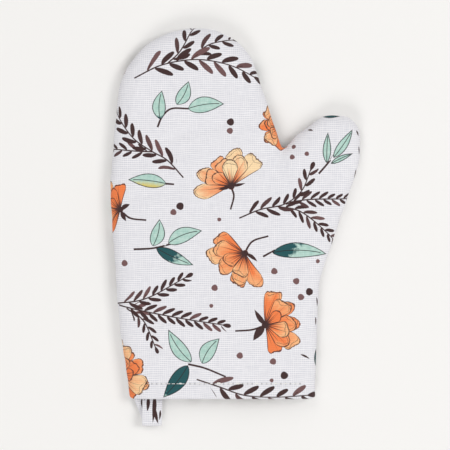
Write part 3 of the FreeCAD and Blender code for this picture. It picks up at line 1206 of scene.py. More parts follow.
class Recipe:
    """A shader node group being made."""

    def __init__(self, name: str, inputs: dict[str, str], outputs: dict[str, str]) -> None:
        """Makes the group with its named sockets; kinds are Float, Vector or Color."""
        self.tree = bpy.data.node_groups.new(name, "ShaderNodeTree")
        for label, kind in inputs.items():
            self.tree.interface.new_socket(label, in_out="INPUT", socket_type=f"NodeSocket{kind}")
        for label, kind in outputs.items():
            self.tree.interface.new_socket(label, in_out="OUTPUT", socket_type=f"NodeSocket{kind}")
        self.desk = Desk(self.tree)
        self.entry = self.desk.node("NodeGroupInput")
        self.exit = self.desk.node("NodeGroupOutput")

    def take(self, label: str) -> Num:
        """A number input."""
        return Num(self.desk, self.entry.outputs[label])

    def give(self, **results: object) -> Tree:
        """Wires the outputs and hands over the group."""
        for label, value in results.items():
            self.desk.wire(value, self.exit.inputs[label.replace("_", " ")])
        return self.tree


# ------------------------------------------------------------------ finishes


@dataclass(frozen=True)
class Inks:
    """Colours of the print."""

    brown: str = "412B2A"
    mauve: str = "7C5B5B"
    line: str = "2A2B2D"
    teal_light: str = "C2DDD3"
    teal_mid: str = "A3CABF"
    teal_dark: str = "1F5458"
    yellow: str = "D9C977"
    orange: str = "F4834A"
    orange_deep: str = "D85F2A"
    peach: str = "F9BE86"
    cream: str = "FAE6BC"


class PrintShop:
    """Node groups that draw each kind of motif from the coordinates stamped on the cloth."""

    def __init__(self, inks: Inks) -> None:
        """Builds every group once."""
        self.inks = inks
        self.petals = self._petals()
        self.drawings = (self._leaf(), self._sprig(), self._bloom(), self._dot())
        self.any = self._any()

    def _motif(self, name: str) -> tuple[Recipe, Desk, tuple[Num, Num, Num], tuple[Num, Num, Num]]:
        """A motif's group and its desk, with the numbers of its place and of its style."""
        inputs = {"Place": "Vector", "Style": "Vector", "Flat": "Vector", "Wobble": "Float"}
        recipe = Recipe(name, inputs, {"Ink": "Color", "Mask": "Float"})
        place, style = (recipe.desk.parts(recipe.take(label).socket) for label in ("Place", "Style"))
        return recipe, recipe.desk, place, style

    def _leaf(self) -> Tree:
        """A leaf: half width a^0.75 (1-a)^1.1 at share a of its length, dark outline and midrib."""
        recipe, desk, (a, b, _), (half, tone, dark) = self._motif("ink_leaf")
        wobble = recipe.take("Wobble")
        form = a**0.75 * (1.0 - a) ** 1.1 * 3.48
        edge = (form - abs(b)) * half + wobble * 0.35 - 0.12
        body = edge.inside(0.22)
        line = (0.66 - edge).inside(0.3)
        rib = (0.30 - abs(b) * half).inside(0.25) * (0.86 - a).over(0.0)
        wash = desk.noise(recipe.take("Flat").socket, 0.32, 3.0)
        light = desk.mix((wash * 2.4 - 0.75).held(), self.inks.teal_light, self.inks.teal_mid)
        sunny = desk.mix((b * 1.5 + wobble).held() * (tone - 0.5).over(0.0), light, self.inks.yellow)
        deep = ((dark - a + (wash - 0.5) * 0.5 + b * 0.08) * 9.0).held()
        shade = desk.mix(deep, sunny, self.inks.teal_dark)
        inked = desk.mix(rib.most(line) * 0.94, shade, self.inks.line)
        plain = desk.mix((tone - 1.5).over(0.0), inked, self.inks.brown)
        return recipe.give(Ink=plain, Mask=body)

    def _sprig(self) -> Tree:
        """A branch: slanted cells along the stem with one leaflet in each, alternate on its two sides.

        A leaflet's half width goes as s^0.75 (1-s)^0.55 at share s of its length.
        """
        recipe, desk, (along, across, _), (length, pitch, leaflet) = self._motif("ink_sprig")
        wobble = recipe.take("Wobble")
        slant = math.radians(40.0)
        away = abs(across)
        left = across.over(0.0)
        root = along - away / math.tan(slant)
        cell = root / pitch + left * 0.5
        number = cell.floor()
        random = desk.chance(number, left, length)
        size = leaflet * (1.0 - (root / length) ** 2.0 * 0.36) * (0.84 + random * 0.36)
        share = away / math.sin(slant) / size.most(0.01)
        offset = (cell - number - 0.5) * pitch * math.sin(slant) + (random - 0.5) * 0.4
        widest = (leaflet * 0.172).least(pitch * 0.26)
        form = share**0.75 * (1.0 - share) ** 0.55 * 2.25
        grown = (form * widest - abs(offset) + wobble * 0.3 - 0.12).inside(0.22)
        leafy = (leaflet - 0.5).over(0.0)
        clothed = (root - length * 0.1).over(0.0) * (length - root - pitch * 0.3).over(0.0) * leafy
        grown = grown * clothed
        stalk = (0.27 - abs(offset)).inside(0.2) * (0.4 - share).over(0.0) * clothed
        thick = 0.76 - leafy * 0.22 - (along / length) * 0.14
        stem = (thick - away + wobble * 0.12).inside(0.22) * along.over(0.0) * (length - along).over(0.0)
        end = (along - length + 1.5) / (leaflet * 0.72).most(0.01)
        tip = (end**1.1 * (1.0 - end) ** 0.55 * 2.75 * widest - away - 0.12).inside(0.22) * leafy
        mask = grown.most(stem).most(tip).most(stalk)
        faded = ((random - 0.70) * 5.0).held() * grown * 0.75
        ink = desk.mix(faded, self.inks.brown, self.inks.mauve)
        dark = desk.mix(stem.most(stalk), ink, self.inks.brown)
        return recipe.give(Ink=dark, Mask=mask)

    def _petals(self) -> Tree:
        """A row of petals: each spans an equal angle and ends in a scalloped rim."""
        labels = ("Radius", "Angle", "Reach", "Span", "Count", "Seed", "Size", "Wobble")
        inputs = {k: "Float" for k in labels}
        outputs = {k: "Float" for k in ("Mask", "Line", "Rim", "Chance")}
        recipe = Recipe("petal_row", inputs, outputs)
        desk = recipe.desk
        span, count, size = recipe.take("Span"), recipe.take("Count"), recipe.take("Size")
        radius, wobble, seed = recipe.take("Radius"), recipe.take("Wobble"), recipe.take("Seed")
        sway = (radius * 3.0 + seed).sin() * 0.05
        turn = (recipe.take("Angle") + sway + span) / (span * 2.0) * count
        number = turn.floor()
        chance = desk.chance(number, seed, count)
        part = (turn - number - 0.5) * 2.0
        rim = recipe.take("Reach") * (0.76 + chance * 0.24)
        scallop = (1.0 - abs(part) ** 2.6) ** 0.5
        notch = (part * 3.4 + seed + chance * 9.0).sin() * 0.05
        limit = rim * (0.66 + scallop * 0.34 + notch + wobble * 0.09)
        gap = (limit - radius) * size
        sides = turn.over(0.0) * (count - turn).over(0.0)
        mask = gap.inside(0.22) * sides
        flank = (1.0 - abs(part)) * radius * size * span / count
        line = (0.94 - gap).inside(0.3).most((0.5 - flank).inside(0.25))
        fold = abs(gap - 2.6 - (part * 5.0 + chance * 9.0).sin() * 0.9)
        fold = (0.26 - fold).inside(0.25) * (chance - 0.35).over(0.0) * (0.8 - abs(part)).over(0.0)
        vein = abs(part - (radius * 2.0 + chance * 5.0).sin() * 0.22) * radius * size * span / count
        vein = (0.34 - radius / rim * 0.34 - vein).inside(0.22)
        line = line.most(fold * 0.7).most(vein * 0.75) * mask
        return recipe.give(Mask=mask, Line=line, Rim=radius / limit.most(0.01), Chance=chance)

    def _bloom(self) -> Tree:
        """A flower: three rows of petals laid over each other, streaks and a dark calyx."""
        recipe, desk, (aside, ahead, _), (size, tone, seed) = self._motif("ink_bloom")
        wobble = recipe.take("Wobble")
        radius = desk.math("SQRT", aside * aside + ahead * ahead)
        angle = desk.math("ARCTAN2", aside, ahead)
        grain = desk.noise(desk.vector(angle * 7.0, radius * 2.2, seed), 1.0, 3.0, 0.6)
        ink: object = self.inks.orange
        mask: Num | None = None
        rows = ((1.0, 1.55, 5.0, 0.0), (0.85, 1.15, 3.0, 5.0), (0.64, 0.9, 2.0, 9.0))
        for reach, span, count, shift in rows:
            lean = angle + (seed * 3.1 + shift).sin() * 0.12
            row = desk.group(
                self.petals, Radius=radius, Angle=lean, Reach=reach, Span=span, Count=count,
                Seed=seed + shift, Size=size, Wobble=wobble,
            )
            ports = ("Mask", "Line", "Rim", "Chance")
            cover, line, rim, chance = (Num(desk, row.outputs[k]) for k in ports)
            pale = (rim * 1.5 - 1.0 + (grain - 0.5) * 1.6 + (chance - 0.5) * 1.2 + tone * 0.75).held()
            milky = (tone * 0.8 + chance * 0.5 - 0.35).held()
            light = desk.mix(milky, self.inks.peach, self.inks.cream)
            petal = desk.mix(pale, self.inks.orange, light)
            depth = ((0.36 - rim) * 2.2 + (grain - 0.5) * 1.1).held() * (1.0 - tone * 0.5)
            petal = desk.mix(depth, petal, self.inks.orange_deep)
            petal = desk.mix(line * 0.93, petal, self.inks.brown)
            ink = desk.mix(cover, ink, petal)
            mask = cover if mask is None else mask.most(cover)
        rays = 5.4
        ray = angle * rays + seed
        number = ray.floor()
        limit = desk.chance(number, seed, 4.0) * 0.42 + 0.24
        aside_ray = abs(ray - number - 0.5) * radius * size / rays
        streak = (0.46 - radius / limit * 0.46 - aside_ray).inside(0.22) * mask
        ink = desk.mix(streak * 0.9, ink, self.inks.brown)
        calyx = ((0.085 - radius) * size + wobble * 0.5).inside(0.3)
        ink = desk.mix(calyx, ink, self.inks.brown)
        return recipe.give(Ink=ink, Mask=mask.most(calyx))

    def _dot(self) -> Tree:
        """A dot: a round dab with a slightly uneven edge."""
        recipe, desk, (x, y, _), (radius, tone, seed) = self._motif("ink_dot")
        lump = (desk.math("ARCTAN2", x, y) * 3.0 + seed).sin() * 0.05
        edge = (1.0 + lump - desk.math("SQRT", x * x + y * y)) * radius + recipe.take("Wobble") * 0.5
        ink = desk.mix(tone * 0.9, self.inks.brown, self.inks.mauve)
        return recipe.give(Ink=ink, Mask=edge.inside(0.25))

    def _any(self) -> Tree:
        """Whichever motif a layer of stamps calls for."""
        recipe, desk, (_, _, kind), _ = self._motif("ink_layer")
        place, style = recipe.take("Place"), recipe.take("Style")
        ink: object = self.inks.brown
        mask: Num | float = 0.0
        flat, wobble = recipe.take("Flat"), recipe.take("Wobble")
        for code, tree in zip(Ink, self.drawings):
            made = desk.group(tree, Place=place, Style=style, Flat=flat, Wobble=wobble)
            mine = (0.3 - abs(kind - code.value)).over(0.0)
            ink = desk.mix(mine, ink, made.outputs["Ink"])
            mask = Num(desk, made.outputs["Mask"]) * mine + mask
        return recipe.give(Ink=ink, Mask=mask)


def woven_cloth() -> Tree:
    """Plain weave: rounded threads over and under, every other one greyer, uneven slubs, painted shade in
    the gaps.
    """
    inputs = {"Flat": "Vector", "Pitch": "Float", "Slub": "Float"}
    recipe = Recipe("woven_cloth", inputs, {"Height": "Float", "Shade": "Float"})
    desk = recipe.desk
    x, y, _ = desk.parts(recipe.take("Flat").socket)
    pitch, slub = recipe.take("Pitch"), recipe.take("Slub")
    sway = desk.noise(recipe.take("Flat").socket, 0.06, 2.0)
    u = (x + sway * 1.6) / pitch
    v = (y + sway * 2.2) / pitch
    warp_wave, weft_wave = (u * math.pi).sin(), (v * math.pi).sin()
    over = warp_wave * weft_wave
    warp = abs(warp_wave) ** 0.7 * (0.62 + over * 0.38)
    weft = abs(weft_wave) ** 0.7 * (0.62 - over * 0.38)
    thread = warp.most(weft)
    weft_gap = 1.0 - abs(weft_wave)
    warp_gap = 1.0 - abs(warp_wave)
    weft_slub = desk.noise(desk.vector(u * 0.09, v.floor() * 5.17, 3.0), 1.0, 2.0, 0.5)
    warp_slub = desk.noise(desk.vector(u.floor() * 5.17, v * 0.09, 9.0), 1.0, 2.0, 0.5)
    weft_turn = weft_wave * (weft_slub * 2.2 - 0.35)
    warp_turn = warp_wave * (warp_slub * 2.2 - 0.35)
    # The gap terms here, and the thread height term in shade below, are painted shade between and beside
    # the threads; the turn and slub terms are the yarns' own tone.
    lines = weft_turn * 1.1 + warp_turn * 0.45 - weft_gap * 0.25 - warp_gap * 0.25
    lines = lines + (weft_slub - 0.5) * 1.5 + (warp_slub - 0.5) * 1.1
    shade = 1.0 + (lines + (thread - 0.72) * 0.4) * slub
    height = thread + (weft_slub + warp_slub) * 0.5
    return recipe.give(Height=height, Shade=shade)


def needle_pits() -> Tree:
    """Pits where a needle went through, evenly spaced along one straight line of sewing."""
    inputs = {"Flat": "Vector", "Pitch": "Float", "Line": "Float", "From": "Float", "To": "Float"}
    recipe = Recipe("needle_pits", inputs, {"Pit": "Float"})
    desk = recipe.desk
    x, y, _ = desk.parts(recipe.take("Flat").socket)
    pitch = recipe.take("Pitch")
    cell = x / pitch
    aside = (cell - cell.floor() - 0.5) * pitch
    off = y - recipe.take("Line")
    far = desk.math("SQRT", aside * aside + off * off * 0.8)
    row = (x - recipe.take("From")).over(0.0) * (recipe.take("To") - x).over(0.0)
    return recipe.give(Pit=((0.95 - far) / 0.6).held() * row)


@dataclass(frozen=True)
class Finish:
    """Plain surface values of one material."""

    colour: str
    roughness: float
    sheen: float = 0.0
    weave_pitch: float = 0.8
    slub: float = 0.12
    bump: float = 0.12
    sheen_spread: float = 0.5
    gloss: float = 0.25


class Workroom:
    """Makes every material of the mitt."""

    cotton = Finish("ECEBEE", 0.88, 0.1, 0.79, 0.105, 0.12)
    lining = Finish("E9E6DF", 0.9, 0.08, 0.62, 0.10, 0.07)
    wadding = Finish("F3F2EE", 0.95, 0.2)
    thread = Finish("F6F5F3", 0.6, 0.1)
    # Blue-grey of the greyer yarns, which also serves as painted shade in the weave's gaps.
    shadow_yarn = "C6C9D8"
    hem_pits = {"Pitch": 3.6, "Line": 11.7, "From": 10.0, "To": 129.5}

    def __init__(self) -> None:
        """Builds the shared groups and the materials."""
        self.shop = PrintShop(Inks())
        self.weave = woven_cloth()
        self.pits = needle_pits()
        self.printed = self._printed("printed_cotton", True)
        self.printed_strip = self._printed("printed_strip", False)
        self.plain = self._plain()
        self.batting = self._batting()
        self.sewing = self._sewing()

    def _start(self, name: str, finish: Finish) -> tuple[Material, Desk, Node]:
        """A material with its uniform values set on the shader's own sockets."""
        material = bpy.data.materials.new(name)
        material.use_nodes = True
        desk = Desk(material.node_tree)
        shader = material.node_tree.nodes["Principled BSDF"]
        desk.wire(finish.colour, shader.inputs["Base Color"])
        desk.wire(finish.roughness, shader.inputs["Roughness"])
        desk.wire(finish.sheen, shader.inputs["Sheen Weight"])
        desk.wire(finish.sheen_spread, shader.inputs["Sheen Roughness"])
        desk.wire(finish.gloss, shader.inputs["Specular IOR Level"])
        return material, desk, shader

    def _wear(
        self, desk: Desk, shader: Node, colour: Socket, height: Num, strength: float, distance: float
    ) -> None:
        """Gives the shader its colour, and a bump from a height in thread units."""
        desk.wire(colour, shader.inputs["Base Color"])
        bump = desk.node("ShaderNodeBump")
        bump.inputs["Strength"].default_value = strength
        bump.inputs["Distance"].default_value = distance
        desk.wire(height, bump.inputs["Height"])
        desk.wire(bump.outputs[0], shader.inputs["Normal"])

    def _shaded(self, desk: Desk, colour: object, shade: Num) -> Socket:
        """A colour or a colour code made lighter or darker by a number."""
        made = desk.node("ShaderNodeVectorMath", operation="SCALE")
        desk.wire(colour, made.inputs[0])
        desk.wire(shade, made.inputs["Scale"])
        return made.outputs[0]

    def _printed(self, name: str, hemmed: bool) -> Material:
        """White cotton with three layers of ink and painted shade in the weave's gaps, and needle pits,
        painted darker as shade, where it is hemmed.
        """
        finish = self.cotton
        material, desk, shader = self._start(name, finish)
        flat = desk.attribute("flat_mm")
        weave = desk.group(self.weave, Flat=flat, Pitch=finish.weave_pitch, Slub=finish.slub)
        height = Num(desk, weave.outputs["Height"])
        shade = Num(desk, weave.outputs["Shade"])
        wobble = desk.noise(flat, 0.55, 2.0) - 0.5
        # Where the weave's Shade is low the cloth turns blue-grey: partly the yarns' own tone, partly
        # painted shade between threads.
        grey = ((1.0 - shade) * 3.4).held()
        colour: object = desk.mix(grey, finish.colour, self.shadow_yarn)
        soak = (height * 0.08 + 0.91).held()
        for layer in (3, 2, 1):
            place, style = (desk.attribute(f"ink_{part}_{layer}") for part in ("place", "style"))
            made = desk.group(self.shop.any, Place=place, Style=style, Flat=flat, Wobble=wobble)
            colour = desk.mix(Num(desk, made.outputs["Mask"]) * soak, colour, made.outputs["Ink"])
        # Painted shade of the weave, with the yarns' tone, darkens cloth and ink alike.
        colour = self._shaded(desk, colour, shade * 0.6 + 0.4)
        if hemmed:
            hole = desk.group(self.pits, Flat=flat, **self.hem_pits)
            pit = Num(desk, hole.outputs["Pit"])
            # The needle holes are painted darker, as shade inside the pits; the height below sinks them
            # too.
            colour = self._shaded(desk, colour, 1.0 - pit * 0.34)
            height = height - pit * 3.0
        self._wear(desk, shader, colour, height, 0.55, finish.bump * MM)
        return material

    def _plain(self) -> Material:
        """Unprinted lining cloth."""
        finish = self.lining
        material, desk, shader = self._start("plain_lining", finish)
        flat = desk.attribute("flat_mm")
        weave = desk.group(self.weave, Flat=flat, Pitch=finish.weave_pitch, Slub=finish.slub)
        # The weave's Shade darkens the lining: the yarns' own tone and painted shade in the gaps between
        # threads.
        colour = self._shaded(desk, finish.colour, Num(desk, weave.outputs["Shade"]))
        self._wear(desk, shader, colour, Num(desk, weave.outputs["Height"]), 0.5, finish.bump * MM)
        return material

    def _batting(self) -> Material:
        """Matted polyester fibre."""
        finish = self.wadding
        material, desk, shader = self._start("polyester_wadding", finish)
        flat = desk.attribute("flat_mm")
        x, y, _ = desk.parts(flat)
        tuft = desk.noise(flat, 0.35, 4.0, 0.7)
        fibre = desk.noise(desk.vector(x + tuft * 9.0, y * 0.25 + tuft * 6.0, 1.0), 1.4, 3.0, 0.6)
        # The colour rises with the bump height below, so the hollows between tufts are painted darker as
        # shade.
        colour = self._shaded(desk, finish.colour, 0.86 + tuft * 0.16 + fibre * 0.08)
        self._wear(desk, shader, colour, tuft * 2.0 + fibre, 0.7, 0.5 * MM)
        return material

    def _sewing(self) -> Material:
        """Twisted sewing thread: strands wind round its length."""
        finish = self.thread
        material, desk, shader = self._start("sewing_thread", finish)
        x, y, _ = desk.parts(desk.attribute("flat_mm"))
        twist = (x * 9.0 + y * 6.0).sin()
        # The colour follows the twist's bump: the grooves between strands are painted darker as shade.
        colour = self._shaded(desk, finish.colour, 0.94 + twist * 0.05)
        self._wear(desk, shader, colour, twist, 0.5, 0.06 * MM)
        return material


# ------------------------------------------------------------------ the mitt's pieces


@dataclass
class Tailor:
    """What every sub-assembly needs: the pattern, the form and the materials."""

    pattern: FlatPattern
    form: PaddedForm
    room: Workroom
    knuckle_reach: float = 34.2
    thumb_reach: float = 27.2
    band_inset: float = 5.2

    def hand_blend(self, piece: Piece) -> None:
        """Bakes a piece's placement into its mesh."""
        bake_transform(piece)

    def thumb_blend(self, piece: Piece) -> None:
        """Works out the ends of the crotch line, which nothing uses, and bakes a piece's placement into
        its mesh.
        """
        crotch = self.pattern.points[self.pattern.crotch]
        far = crotch + self.pattern.across * self.thumb_reach
        ends = self.pattern.world(np.stack([crotch, far]), np.full(2, self.form.seam_plane))
        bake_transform(piece)

    def dress(self, piece: Piece, side: Side, layer: str, hand: bool) -> None:
        """Bakes a piece's placement into its mesh and hides the model's nodes that it replaces."""
        if hand:
            self.hand_blend(piece)
            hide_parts(f"{side.value}_{layer}_palm", f"{side.value}_{layer}_fingers")
        else:
            self.thumb_blend(piece)
            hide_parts(f"{side.value}_{layer}_thumb")

    def declare(self, piece: Piece, cloth: Cloth, side: Side, held: str) -> None:
        """Logs the size that a sheet was cut to."""
        width, length, area = cloth.flat_size()
        LOG.info("%s: cut %.1f x %.1f cm", piece.name, width * 100, length * 100)


@dataclass
class Cover:
    """Printed cover of one half: the hand with its turned hem, and the thumb."""

    tailor: Tailor
    side: Side
    hem_depth: float = 14.0
    hem_roll: float = 2.4
    roll_steps: int = 12
    band_rows: int = 8
    print_pivot: Point = (62.0, 128.0)
    columns: int = 150
    rows: tuple[int, int, int] = (92, 64, 84)
    thumb_rows: int = 60

    def make(self) -> None:
        """Builds and dresses both pieces."""
        front = self.side is Side.FRONT
        for hand, cloth in ((True, self._hand()), (False, self._thumb())):
            piece = cloth.build(self.tailor.room.printed)
            Print(garden(front)).stamp(piece, 0.0 if front else 180.0, self.print_pivot)
            self.tailor.dress(piece, self.side, "cover", hand)
            self.tailor.declare(piece, cloth, self.side, "stretched")

    def _surface(self, plan: Array, turned: Array, cloth_y: Array | None, name: str, pole: bool) -> Cloth:
        """Lifts a plan into the cover's surface and gives it its flat coordinates.

        The seam pulls the rim in, most where it is lowest. The bulges push it out again,
        by less and less away from the edge. The turned-in cloth is neither pulled nor pushed.

        Args:
            plan: plan points.
            turned: share of the way from the outside to the turned-in band, for each row.
            cloth_y: flat height of each row, or None where it is the plan's own.
            name: the piece's name.
            pole: True where the last row is one point.

        Returns:
            The mesh data.
        """
        form = self.tailor.form
        depth = self.tailor.band_inset * turned[:, None]
        height, distance, facing, run = form.height(plan, self.side, depth)
        rise = np.abs(height - form.seam_plane)
        pull = form.groove * (1.0 - np.clip(rise / 1.5, 0.0, 1.0)) ** 2 * (distance < 3.0)
        pull = pull - form.bulges(run) * np.exp(-distance / 5.0)
        pull = pull * (1.0 - turned[:, None]) ** 6
        moved = plan - facing * pull[..., None]
        places = self.tailor.pattern.world(moved, height)
        flat = plan + facing * form.spread(distance)[..., None]
        if cloth_y is not None:
            flat[..., 1] = cloth_y[:, None] + (flat[..., 1] - plan[..., 1])
        return Cloth.grid(name, places, flat, self.side is Side.BACK, pole)

    def _hand(self) -> Cloth:
        """Hand part: turned band, rolled hem, then up over the palm to the fingertips."""
        inset = self.tailor.band_inset
        angle = np.linspace(np.pi, 0.0, self.roll_steps + 1)
        roll_y = self.hem_roll * (1.0 - np.sin(angle))
        roll_turned = (1.0 - np.cos(angle)) / 2.0
        band_y = np.linspace(self.hem_depth, self.hem_roll, self.band_rows + 1)[:-1]
        up = self.tailor.pattern.hand_rows(0.0, self.hem_roll, self.rows)[1:]
        rows = np.concatenate([band_y, roll_y, up])
        turned = np.concatenate([np.ones(self.band_rows), roll_turned, np.zeros(len(up))])
        roll_run = angle * (self.hem_roll + inset / 2.0) / 2.0
        roll_y_flat = self.hem_roll - roll_run
        cloth_y = np.concatenate([roll_y_flat[0] - (band_y - self.hem_roll), roll_y_flat, up])
        plan = self.tailor.pattern.hand_plan(rows, inset * turned, eased(0.0, 1.0, self.columns))
        return self._surface(plan, turned, cloth_y, f"{self.side.value}_cover", True)

    def _thumb(self) -> Cloth:
        """Thumb part, from the crotch line to the tip."""
        plan = self.tailor.pattern.thumb_plan(0.0, eased(0.0, 1.0, self.rows[1]), self.thumb_rows)
        return self._surface(plan, np.zeros(len(plan)), None, f"{self.side.value}_cover_thumb_part", True)


@dataclass
class Lining:
    """Plain inner cloth of one half, against the hand."""

    tailor: Tailor
    side: Side
    depth: float = 4.7
    start: float = 1.2
    columns: int = 60
    rows: tuple[int, int, int] = (30, 26, 34)
    thumb_rows: int = 24

    def make(self) -> None:
        """Builds and dresses both pieces."""
        pattern, form = self.tailor.pattern, self.tailor.form
        rows = pattern.hand_rows(self.depth, self.start, self.rows)
        hand = pattern.hand_plan(rows, np.full(len(rows), self.depth), eased(0.0, 1.0, self.columns))
        thumb = pattern.thumb_plan(self.depth, eased(0.0, 1.0, self.rows[1]), self.thumb_rows)
        for part, plan in (("", hand), ("_thumb_part", thumb)):
            height, distance, facing, _ = form.height(plan, self.side, self.depth)
            flat = plan + facing * (form.spread(distance) * 0.6)[..., None]
            name = f"{self.side.value}_lining{part}"
            cloth = Cloth.grid(name, pattern.world(plan, height), flat, self.side is Side.FRONT, True)
            piece = cloth.build(self.tailor.room.plain)
            self.tailor.dress(piece, self.side, "lining", plan is hand)
            self.tailor.declare(piece, cloth, self.side, "laid")


@dataclass
class Wadding:
    """Padding of one half: a closed soft sheet between the cover and the lining."""

    tailor: Tailor
    side: Side
    outer_depth: float = 0.7
    inner_depth: float = 4.2
    start: float = 2.6
    settled: float = 0.35
    lumps: float = 0.12
    columns: int = 44
    rows: tuple[int, int, int] = (26, 22, 30)
    thumb_rows: int = 22

    def make(self) -> None:
        """Builds and dresses both pieces."""
        for hand, cloth in ((True, self._hand()), (False, self._thumb())):
            piece = cloth.build(self.tailor.room.batting)
            self.tailor.dress(piece, self.side, "wadding", hand)
            LOG.info("%s: wadding", piece.name)

    def _shell(self, outer: Array, inner: Array, name: str) -> Cloth:
        """Closed shell: each row runs over the outside, down the edge and back over the inside."""
        form, pattern = self.tailor.form, self.tailor.pattern
        top = form.height(outer, self.side, self.outer_depth)[0]
        bottom = form.height(inner, self.side, self.inner_depth)[0]
        lift = self.settled * self.side.sign
        x, y = outer[..., 0], outer[..., 1]
        bumps = self.lumps * np.sin(x / 2.3 + 2 * np.sin(y / 5.0)) * np.sin(y / 2.9)
        top = top + lift * 0.5 - self.side.sign * np.abs(bumps)
        bottom = bottom + lift
        plan = np.concatenate([outer, inner[:, ::-1]], axis=1)
        height = np.concatenate([top, bottom[:, ::-1]], axis=1)
        flat = np.concatenate([outer, inner[:, ::-1] + np.array([260.0, 0.0])], axis=1)
        flip = self.side is Side.BACK
        shell = Cloth.grid(name, pattern.world(plan, height), flat, flip, False, True)
        count = outer.shape[1]
        near = np.arange(count)
        far = 2 * count - 1 - near
        quads = np.stack([near[:-1], far[:-1], far[1:], near[1:]], axis=-1)
        shell.faces.append(quads[:, ::-1] if flip else quads)
        last = quads + (len(outer) - 1) * 2 * count
        shell.faces.append(last if flip else last[:, ::-1])
        return shell

    def _hand(self) -> Cloth:
        """Hand part of the padding."""
        pattern, share = self.tailor.pattern, eased(0.0, 1.0, self.columns)
        grids = []
        for depth in (self.outer_depth, self.inner_depth):
            rows = pattern.hand_rows(depth, self.start, self.rows)
            rows = np.minimum(rows, rows[-1] - 0.02)
            grids.append(pattern.hand_plan(rows, np.full(len(rows), depth), share))
        return self._shell(grids[0], grids[1], f"{self.side.value}_wadding")

    def _thumb(self) -> Cloth:
        """Thumb part of the padding."""
        share = eased(0.0, 1.0, self.rows[1])
        plan, depths = self.tailor.pattern.thumb_plan, (self.outer_depth, self.inner_depth)
        outer, inner = (plan(depth, share, self.thumb_rows)[:-1] for depth in depths)
        return self._shell(outer, inner, f"{self.side.value}_wadding_thumb_part")


def thread_run(name: str, path: Array, radius: float, sides: int = 8) -> Cloth:
    """Round thread carried along a path, closed at both ends.

    Args:
        name: the piece's name.
        path: points in metres.
        radius: thread radius in metres.
        sides: corners of the round section.

    Returns:
        The mesh data.
    """
    way = np.gradient(path, axis=0)
    way /= np.linalg.norm(way, axis=1, keepdims=True)
    up = np.array([0.0, 0.0, 1.0])
    aside = np.cross(way, up)
    aside /= np.maximum(np.linalg.norm(aside, axis=1, keepdims=True), 1e-9)
    over = np.cross(aside, way)
    angle = np.linspace(0.0, 2 * np.pi, sides, endpoint=False)
    ring = np.cos(angle)[None, :, None] * aside[:, None] + np.sin(angle)[None, :, None] * over[:, None]
    size = np.full(len(path), radius)
    size[[0, -1]] *= 0.35
    places = path[:, None] + ring * size[:, None, None]
    run = run_along(path) / MM
    flat = np.stack(np.broadcast_arrays(run[:, None], angle[None, :] * radius / MM), axis=-1)
    return Cloth.grid(name, places, flat, True, False, True).capped(sides)


@dataclass
class Sewing:
    """The hem stitches of both halves and the seam thread round the mitt; sizes in millimetres."""

    tailor: Tailor
    stitch_pitch: float = 3.6
    stitch_length: float = 3.0
    thread: float = 0.24
    left: float = 11.8
    right: float = 129.0
    bow: float = 0.36
    sunk: float = 0.2
    seam_inset: float = 1.55
    seam_foot: float = 1.0
    seam_step: float = 0.9
    seam_wave: float = 0.22
    seam_pitch: float = 2.7
    seam_thread: float = 0.2

    def make(self) -> None:
        """Builds and dresses every thread."""
        for side in Side:
            self._hem(side)
        self._seam()

    def _hem(self, side: Side) -> None:
        """Stitches along the hem: each is a short bowed run between two needle holes."""
        form = self.tailor.form
        first = math.ceil(self.left / self.stitch_pitch)
        count = int((self.right - self.left) / self.stitch_pitch)
        starts = (first + np.arange(count)) * self.stitch_pitch
        share = np.linspace(-0.5, 0.5, 7)
        x = starts[:, None] + share[None, :] * self.stitch_length
        plan = np.stack([x, np.full_like(x, form.hem_height)], axis=-1)
        arch = self.bow * (1.0 - (2.0 * share) ** 4) - self.sunk
        parts = []
        for depth, sign in ((0.0, 1.0), (self.tailor.band_inset, -1.0)):
            height = form.height(plan, side, depth)[0] + side.sign * sign * arch[None, :]
            height = np.maximum(height, self.thread + 0.05)
            place = self.tailor.pattern.world(plan, height)
            parts += [thread_run("stitch", run, self.thread * MM, 7) for run in place]
        piece = joined(f"hem_stitches_{side.value}", parts).build(self.tailor.room.sewing)
        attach(piece, "palm")
        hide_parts(f"hem_thread_{side.value}")
        LOG.info("%s: %d stitches", piece.name, count)

    def _seam(self) -> None:
        """Seam thread in the turned edge, as a hand part and a thumb part."""
        pattern = self.tailor.pattern
        line = pattern.inset(self.seam_inset)
        foot = self.seam_foot
        up, down = line[: pattern.apex], line[pattern.side :][::-1]
        start, end = ([[float(np.interp(foot, edge[:, 1], edge[:, 0])), foot]] for edge in (up, down))
        hand = np.concatenate([start, line[1 : pattern.crotch + 1]])
        thumb = np.concatenate([line[pattern.crotch : -1], end])
        for name, span, nodes, blend in (
            ("seam_thread_hand", hand, ("left", "fingers"), self.tailor.hand_blend),
            ("seam_thread_thumb_part", thumb, ("crotch", "thumb", "right"), self.tailor.thumb_blend),
        ):
            run = run_along(span)
            even = np.arange(0.0, run[-1], self.seam_step)
            plan = np.column_stack([np.interp(even, run, span[:, k]) for k in (0, 1)])
            wave = self.seam_wave * np.sin(2 * np.pi * even / self.seam_pitch)
            places = pattern.world(plan, self.tailor.form.seam_plane + wave)
            thread = thread_run(name, places, self.seam_thread * MM, 6)
            piece = thread.build(self.tailor.room.sewing)
            blend(piece)
            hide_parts(*[f"seam_thread_{n}" for n in nodes])
            LOG.info("%s: %.0f mm of seam", name, run[-1])


